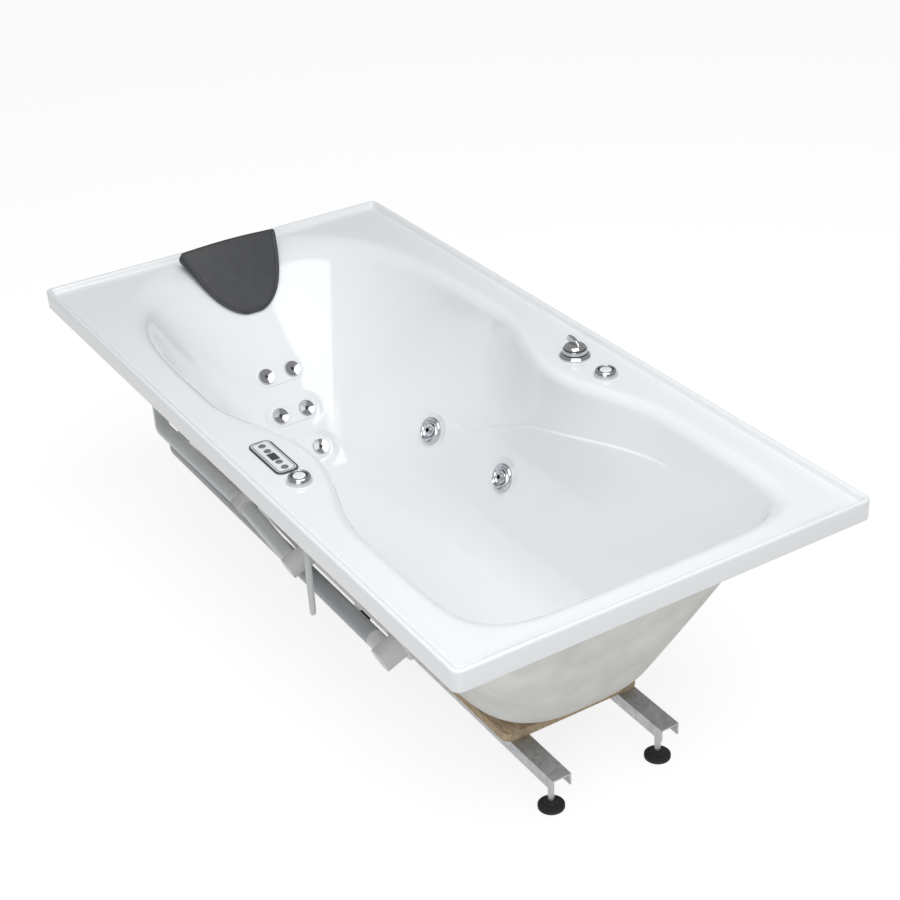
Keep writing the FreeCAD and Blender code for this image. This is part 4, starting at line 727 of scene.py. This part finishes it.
diverter = {"site": (0.097, 0.338, 0.538), "bladeFront": 0.0195, "bladeBack": -0.0285,
            "rows": 44, "around": 40}
domeProfile = [(0, -0.030, 0), (0.009, -0.030, 0.0005), (0.009, 0.0081, 0), (0.0232, 0.0081, 0),
               (0.0232, 0.0098, 0.0003), (0.0250, 0.0104, 0.0006), (0.0250, 0.0165, 0.0022),
               (0.0212, 0.0238, 0.0036), (0.0135, 0.0280, 0.0030), (0.0034, 0.0288, 0.0004),
               (0.0030, 0.0268, 0.0003), (0, 0.0268, 0)]
domePoints = turnedPoints(roundedProfile(domeProfile, 5), diverter["site"], (0, 0, 1), 96)
dome = gridPiece("diverterDome", domePoints, chrome, "diverter_handle", sharp=35)
# the gap between the flange and the handle is painted dark for its shade; the floor of the small well on
# top is coloured dark too
paintBand(dome, rubber, diverter["site"], 0.0225, 0.0240, 0.0080)
paintBand(dome, rubber, diverter["site"], 0.0, 0.0030, 0.0200)
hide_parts("diverter_handle")


def bladePoints():
    # sections along the blade: superellipses between a low edge and an arched top edge
    share = (1 - np.cos(np.linspace(0, math.pi, diverter["rows"]))) / 2
    x = mix(diverter["bladeFront"], diverter["bladeBack"], share)
    top = np.interp(share, (0, 0.2, 0.45, 0.7, 0.88, 1),
                    (0.0240, 0.0325, 0.0385, 0.0405, 0.0385, 0.0300))
    top = np.convolve(np.pad(top, 3, "edge"), np.ones(7) / 7, "valid")
    low = np.interp(share, (0, 0.75, 1), (0.0205, 0.0215, 0.0270))
    thick = np.interp(share, (0, 0.4, 1), (0.0034, 0.0044, 0.0026))
    bow = 0.0016 * np.sin(math.pi * share)
    ends = np.sqrt(np.clip(1 - np.abs(2 * share - 1) ** 8, 0, 1))
    angle = np.arange(diverter["around"]) * 2 * math.pi / diverter["around"]
    cosine, sine = np.cos(angle), np.sin(angle)
    y = (thick * ends)[:, None] * np.sign(cosine) * np.abs(cosine) ** 0.7 + bow[:, None]
    rise = np.sign(sine) * np.abs(sine) ** 0.6
    z = ((top + low) / 2)[:, None] + ((top - low) / 2 * ends)[:, None] * rise
    return np.asarray(diverter["site"]) + np.stack([np.broadcast_to(x[:, None], y.shape), y, z], -1)


gridPiece("diverterBlade", bladePoints(), chrome, "diverter_handle", sharp=50)
print("diverter ready")

# keypad: a dark outline round a pale panel, with wells for the keys and the display


def makeKeypad():
    # steps of inset give the dark edge, the pale band, the groove and the raised panel
    thick = keypad["thick"]
    profile = [(0.0008, 0.00001), (0, 0.0004), (0, thick - 0.0011), (0.0003, thick - 0.0004),
               (0.0010, thick), (0.0034, thick), (0.0038, thick - 0.0003), (0.0056, thick - 0.0003),
               (0.0059, thick), (0.0070, thick), (0.0074, thick - 0.0002), (0.0120, thick - 0.0002),
               (0.0200, thick - 0.0002)]
    panel = gridPiece("keypadPanel", platePoints(keypad["place"], profile, keypad["halfLong"],
                                                 keypad["halfWide"], keypad["corner"]),
                      bezelPlastic, "bath", sharp=35)
    cutters = [cylinderCutter(np.array(keypad["place"]) + (x, 0, 0), (0, 0, 1), keypad["keyHole"],
                              thick - keypad["keyDeep"], 0.02) for x in keypad["keys"]]
    cutters.append(platePoints(keypad["place"], [(0, thick - keypad["windowDeep"]), (0, 0.02)],
                               *keypad["window"], 0.0005))
    cutHoles(panel, cutters)
    panel.data.materials.append(pearl)
    for face in panel.data.polygons:
        offset = np.abs(np.array(face.center) - np.asarray(keypad["place"]))
        corner = np.maximum(offset[:2] - (keypad["halfLong"] - keypad["corner"],
                                          keypad["halfWide"] - keypad["corner"]), 0)
        inset = keypad["corner"] - np.linalg.norm(corner) if corner.max() > 0 else 0.02
        if offset[2] > thick - 0.0006 and (0.0036 < inset < 0.0057 or inset > 0.0072):
            face.material_index = 1
    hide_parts("keypad_bezel")
    low = -keypad["bodyDepth"]
    gridPiece("keypadBody", platePoints(keypad["place"], [(0.0006, low), (0, low + 0.0006), (0, 0.0)],
                                        keypad["bodyLong"], keypad["bodyWide"], 0.002),
              bezelPlastic, "bath", sharp=35)


makeKeypad()
print("keypad ready")

# headrest: a foam wedge that hangs over the rolled edge

pillow = {"halfWidth": 0.124, "taper": 0.052, "ridge": (-0.784, 0, 0.588), "topDepth": 0.003,
          "tipThick": 0.009, "tipDepth": 0.101, "sideDraw": 0.014, "lift": 0.0016, "round": 0.015,
          "seam": 0.0014, "seamInset": 0.0065, "seamWidth": 0.0013, "topEnd": 0.07, "tipStart": 0.92,
          "tipRun": 0.095, "tipFade": 0.0965, "rows": 96, "fill": 0.85}


def headNormal(depth):
    # square to the backrest's middle line, from its slope over a millimetre
    step = 0.0005
    top = np.clip(depth - step, 0.0001, None)
    dx = basinLimits(depth + step)[1] - basinLimits(top)[1]
    dz = depth + step - top
    length = np.hypot(dx, dz)
    return np.stack([dz / length, 0 * dx, dx / length], -1)


def pillowBase(depth, halfWidth):
    # off the backrest's middle by the wall's curve at the pad's edge, measured along the normal
    wide = np.stack([np.interp(w, *basinOutline(d, np.linspace(0, 1, 400))[::-1])
                     for d, w in zip(depth, halfWidth)])
    hollow = wide - basinLimits(depth)[1]
    normal = headNormal(depth)
    middle = np.stack([basinLimits(depth)[1], 0 * depth, basin["deck"] - depth], -1)
    return middle + normal * (hollow * normal[:, 0] + pillow["lift"])[:, None]


def sectionCurve():
    # a section's columns: along the back, up the bulging side, over the crowned front and down
    back = np.stack([np.linspace(-1, 1, 14), np.zeros(14)], -1)
    rise = np.linspace(0, 1, 13)[1:-1]
    across = -np.cos(np.linspace(0, math.pi, 90))
    side = np.stack([np.ones(11), rise], -1)
    front = np.stack([-across, np.full(90, 2.0)], -1)
    return np.concatenate([back, side, front, side[::-1] * (-1, 1)])


def pillowPoints():
    # sections from the backrest out to a straight line from ridge to tip, narrowing as a fifth power
    tip = np.array([pillow["tipDepth"]])
    ridge = np.array(pillow["ridge"])
    tipFront = (np.array([basinLimits(tip)[1][0], 0, basin["deck"] - tip[0]])
                + headNormal(tip)[0] * pillow["tipThick"])
    topEnd, tipStart = pillow["topEnd"], pillow["tipStart"]
    share = np.concatenate([topEnd * (1 - np.cos(np.linspace(0, math.pi / 2, 12)))[:-1],
                            np.linspace(topEnd, tipStart, pillow["rows"] - 30),
                            tipStart + pillow["tipRun"] * np.sin(np.linspace(0, math.pi / 2, 18))[1:]])
    depth = mix(pillow["topDepth"], tip, np.minimum(share, 1.0) ** 1.3)
    halfWidth = pillow["halfWidth"] - pillow["taper"] * share
    halfWidth = halfWidth * np.sqrt(1 - np.clip(share / 1.016, 0, 1) ** 5)
    base = pillowBase(depth, halfWidth)
    front = ridge + (tipFront - ridge) * share[:, None]
    outward = unit(front - base)
    thick = np.linalg.norm(front - base, axis=-1)
    draw = np.minimum(pillow["sideDraw"], 0.4 * thick)[:, None]
    wide, tall = halfWidth[:, None], thick[:, None]
    curve = sectionCurve()
    position, kind = curve[:, 0][None], curve[:, 1][None]
    narrow = np.maximum(wide - draw, 0.3 * wide)
    rise = kind * 0.88
    bulge = narrow + (wide - narrow) * np.sin(np.clip(rise / 0.55, 0, 2) * math.pi / 2)
    y = position * np.where(kind == 0, narrow, np.where(kind < 1, bulge, wide - 0.3 * draw))
    crown = 1 - 0.12 * position ** 2
    high = np.where(kind == 0, 0, np.where(kind < 1, rise * tall, crown * tall))
    # a seam sunk round the front face, then the top and the tip rounded over
    toEdge = wide * (1 - np.abs(position)) - pillow["seamInset"]
    high = high - np.where(kind == 2, pillow["seam"] * np.exp(-(toEdge / pillow["seamWidth"]) ** 2), 0)
    long = np.linalg.norm(tipFront - ridge)
    gone = np.clip(1 - share * long / pillow["round"], 0, 1)
    inset = pillow["round"] * (1 - np.sqrt(1 - gone ** 2))[:, None]
    y = y * (1 - inset / pillow["halfWidth"])
    high = high + np.where(high > 0.5 * tall, -inset, 0.3 * inset)
    ending = np.sqrt(1 - np.clip((share - tipStart) / pillow["tipFade"], 0, 1) ** 2)[:, None]
    high = high * mix(1, ending, 0.8)
    points = base[:, None] + y[..., None] * (0, 1, 0) + high[..., None] * outward[:, None]
    middle = points[0].mean(0)
    cap = np.stack([mix(middle, points[0], part) for part in np.linspace(0, 1, 9)[:-1]])
    finish = mix(points[-1].mean(0), points[-1], np.array([0.5, 0])[:, None, None])
    return np.concatenate([cap, points, finish])


pad = gridPiece("headrestPad", pillowPoints(), cushionSkin, "bath", sharp=60)
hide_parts("headrest_pad")
print("headrest ready")

# floor, light and camera

studio = {"floorHalf": 14.0, "floorColour": (0.82, 0.82, 0.82, 1), "skyLevel": 0.36,
          "keyPlace": (1.3, -0.3, 3.7), "keySize": 3.2, "keyPower": 96.0,
          "fillPlace": (2.6, -2.2, 2.2), "fillSize": 2.2, "fillPower": 22.0}


def makeFloor():
    # a matt floor that is white to the camera and still takes the shadow
    half = studio["floorHalf"]
    mesh = bpy.data.meshes.new("floorSheet")
    corners = [(-half, -half, 0), (half, -half, 0), (half, half, 0), (-half, half, 0)]
    mesh.from_pydata(corners, [], [(0, 1, 2, 3)])
    floor = bpy.data.objects.new("floorSheet", mesh)
    bpy.context.scene.collection.objects.link(floor)
    material, nodes, links = newMaterial("paleFloor")
    shader = nodes["Principled BSDF"]
    shader.inputs["Base Color"].default_value = studio["floorColour"]
    shader.inputs["Roughness"].default_value = 0.9
    rays = nodes.new("ShaderNodeLightPath")
    seen = nodes.new("ShaderNodeMath")
    seen.operation = "MAXIMUM"
    links.new(rays.outputs["Is Camera Ray"], seen.inputs[0])
    links.new(rays.outputs["Is Glossy Ray"], seen.inputs[1])
    share = nodes.new("ShaderNodeMath")
    share.operation = "MULTIPLY"
    share.inputs[1].default_value = 0.70
    links.new(seen.outputs[0], share.inputs[0])
    glow = nodes.new("ShaderNodeEmission")
    glow.inputs["Color"].default_value = (1, 1, 1, 1)
    glow.inputs["Strength"].default_value = 1.20
    blend = nodes.new("ShaderNodeMixShader")
    links.new(share.outputs[0], blend.inputs["Fac"])
    links.new(shader.outputs["BSDF"], blend.inputs[1])
    links.new(glow.outputs["Emission"], blend.inputs[2])
    links.new(blend.outputs["Shader"], nodes["Material Output"].inputs["Surface"])
    mesh.materials.append(material)


def makeSky():
    # a plain level of light on the object, and white behind it
    world = bpy.data.worlds.new("studio")
    bpy.context.scene.world = world
    world.use_nodes = True
    nodes, links = world.node_tree.nodes, world.node_tree.links
    plain = nodes["Background"]
    plain.inputs["Color"].default_value = (1, 1, 1, 1)
    plain.inputs["Strength"].default_value = studio["skyLevel"]
    white = nodes.new("ShaderNodeBackground")
    white.inputs["Color"].default_value = (1, 1, 1, 1)
    white.inputs["Strength"].default_value = 1.0
    rays = nodes.new("ShaderNodeLightPath")
    seen = nodes.new("ShaderNodeMath")
    seen.operation = "MAXIMUM"
    links.new(rays.outputs["Is Camera Ray"], seen.inputs[0])
    links.new(rays.outputs["Is Transmission Ray"], seen.inputs[1])
    blend = nodes.new("ShaderNodeMixShader")
    links.new(seen.outputs[0], blend.inputs["Fac"])
    links.new(plain.outputs["Background"], blend.inputs[1])
    links.new(white.outputs["Background"], blend.inputs[2])
    links.new(blend.outputs["Shader"], nodes["World Output"].inputs["Surface"])


def makeLight(name):
    # a square lamp that faces the middle of the bath
    lamp = bpy.data.lights.new(name + "Softbox", "AREA")
    lamp.shape = "SQUARE"
    lamp.size = studio[name + "Size"]
    lamp.energy = studio[name + "Power"]
    holder = bpy.data.objects.new(name + "Softbox", lamp)
    bpy.context.scene.collection.objects.link(holder)
    holder.location = studio[name + "Place"]
    holder.rotation_mode = "QUATERNION"
    holder.rotation_quaternion = (Vector((0, 0, 0.4)) - holder.location).to_track_quat("-Z", "Y")


view = {"place": (2.64214, -1.46825, 2.13519), "target": (0.10890, 0.03005, 0.43290),
        "roll": -2.9605, "lens": 69.948, "sensor": 36.0}


def makeCamera():
    # looks from its place to its target, then rolls about that line
    lens = bpy.data.cameras.new("camera")
    lens.lens = view["lens"]
    lens.sensor_width = view["sensor"]
    lens.clip_end = 60
    holder = bpy.data.objects.new("camera", lens)
    bpy.context.scene.collection.objects.link(holder)
    holder.location = view["place"]
    forward = Vector(view["target"]) - Vector(view["place"])
    holder.rotation_mode = "QUATERNION"
    holder.rotation_quaternion = (forward.to_track_quat("-Z", "Y").to_matrix()
                                  @ Matrix.Rotation(math.radians(view["roll"]), 3, "Z")).to_quaternion()
    bpy.context.scene.camera = holder


makeFloor()
makeSky()
makeLight("key")
makeLight("fill")
makeCamera()
bpy.context.scene.view_settings.view_transform = "Standard"

print("scene ready")
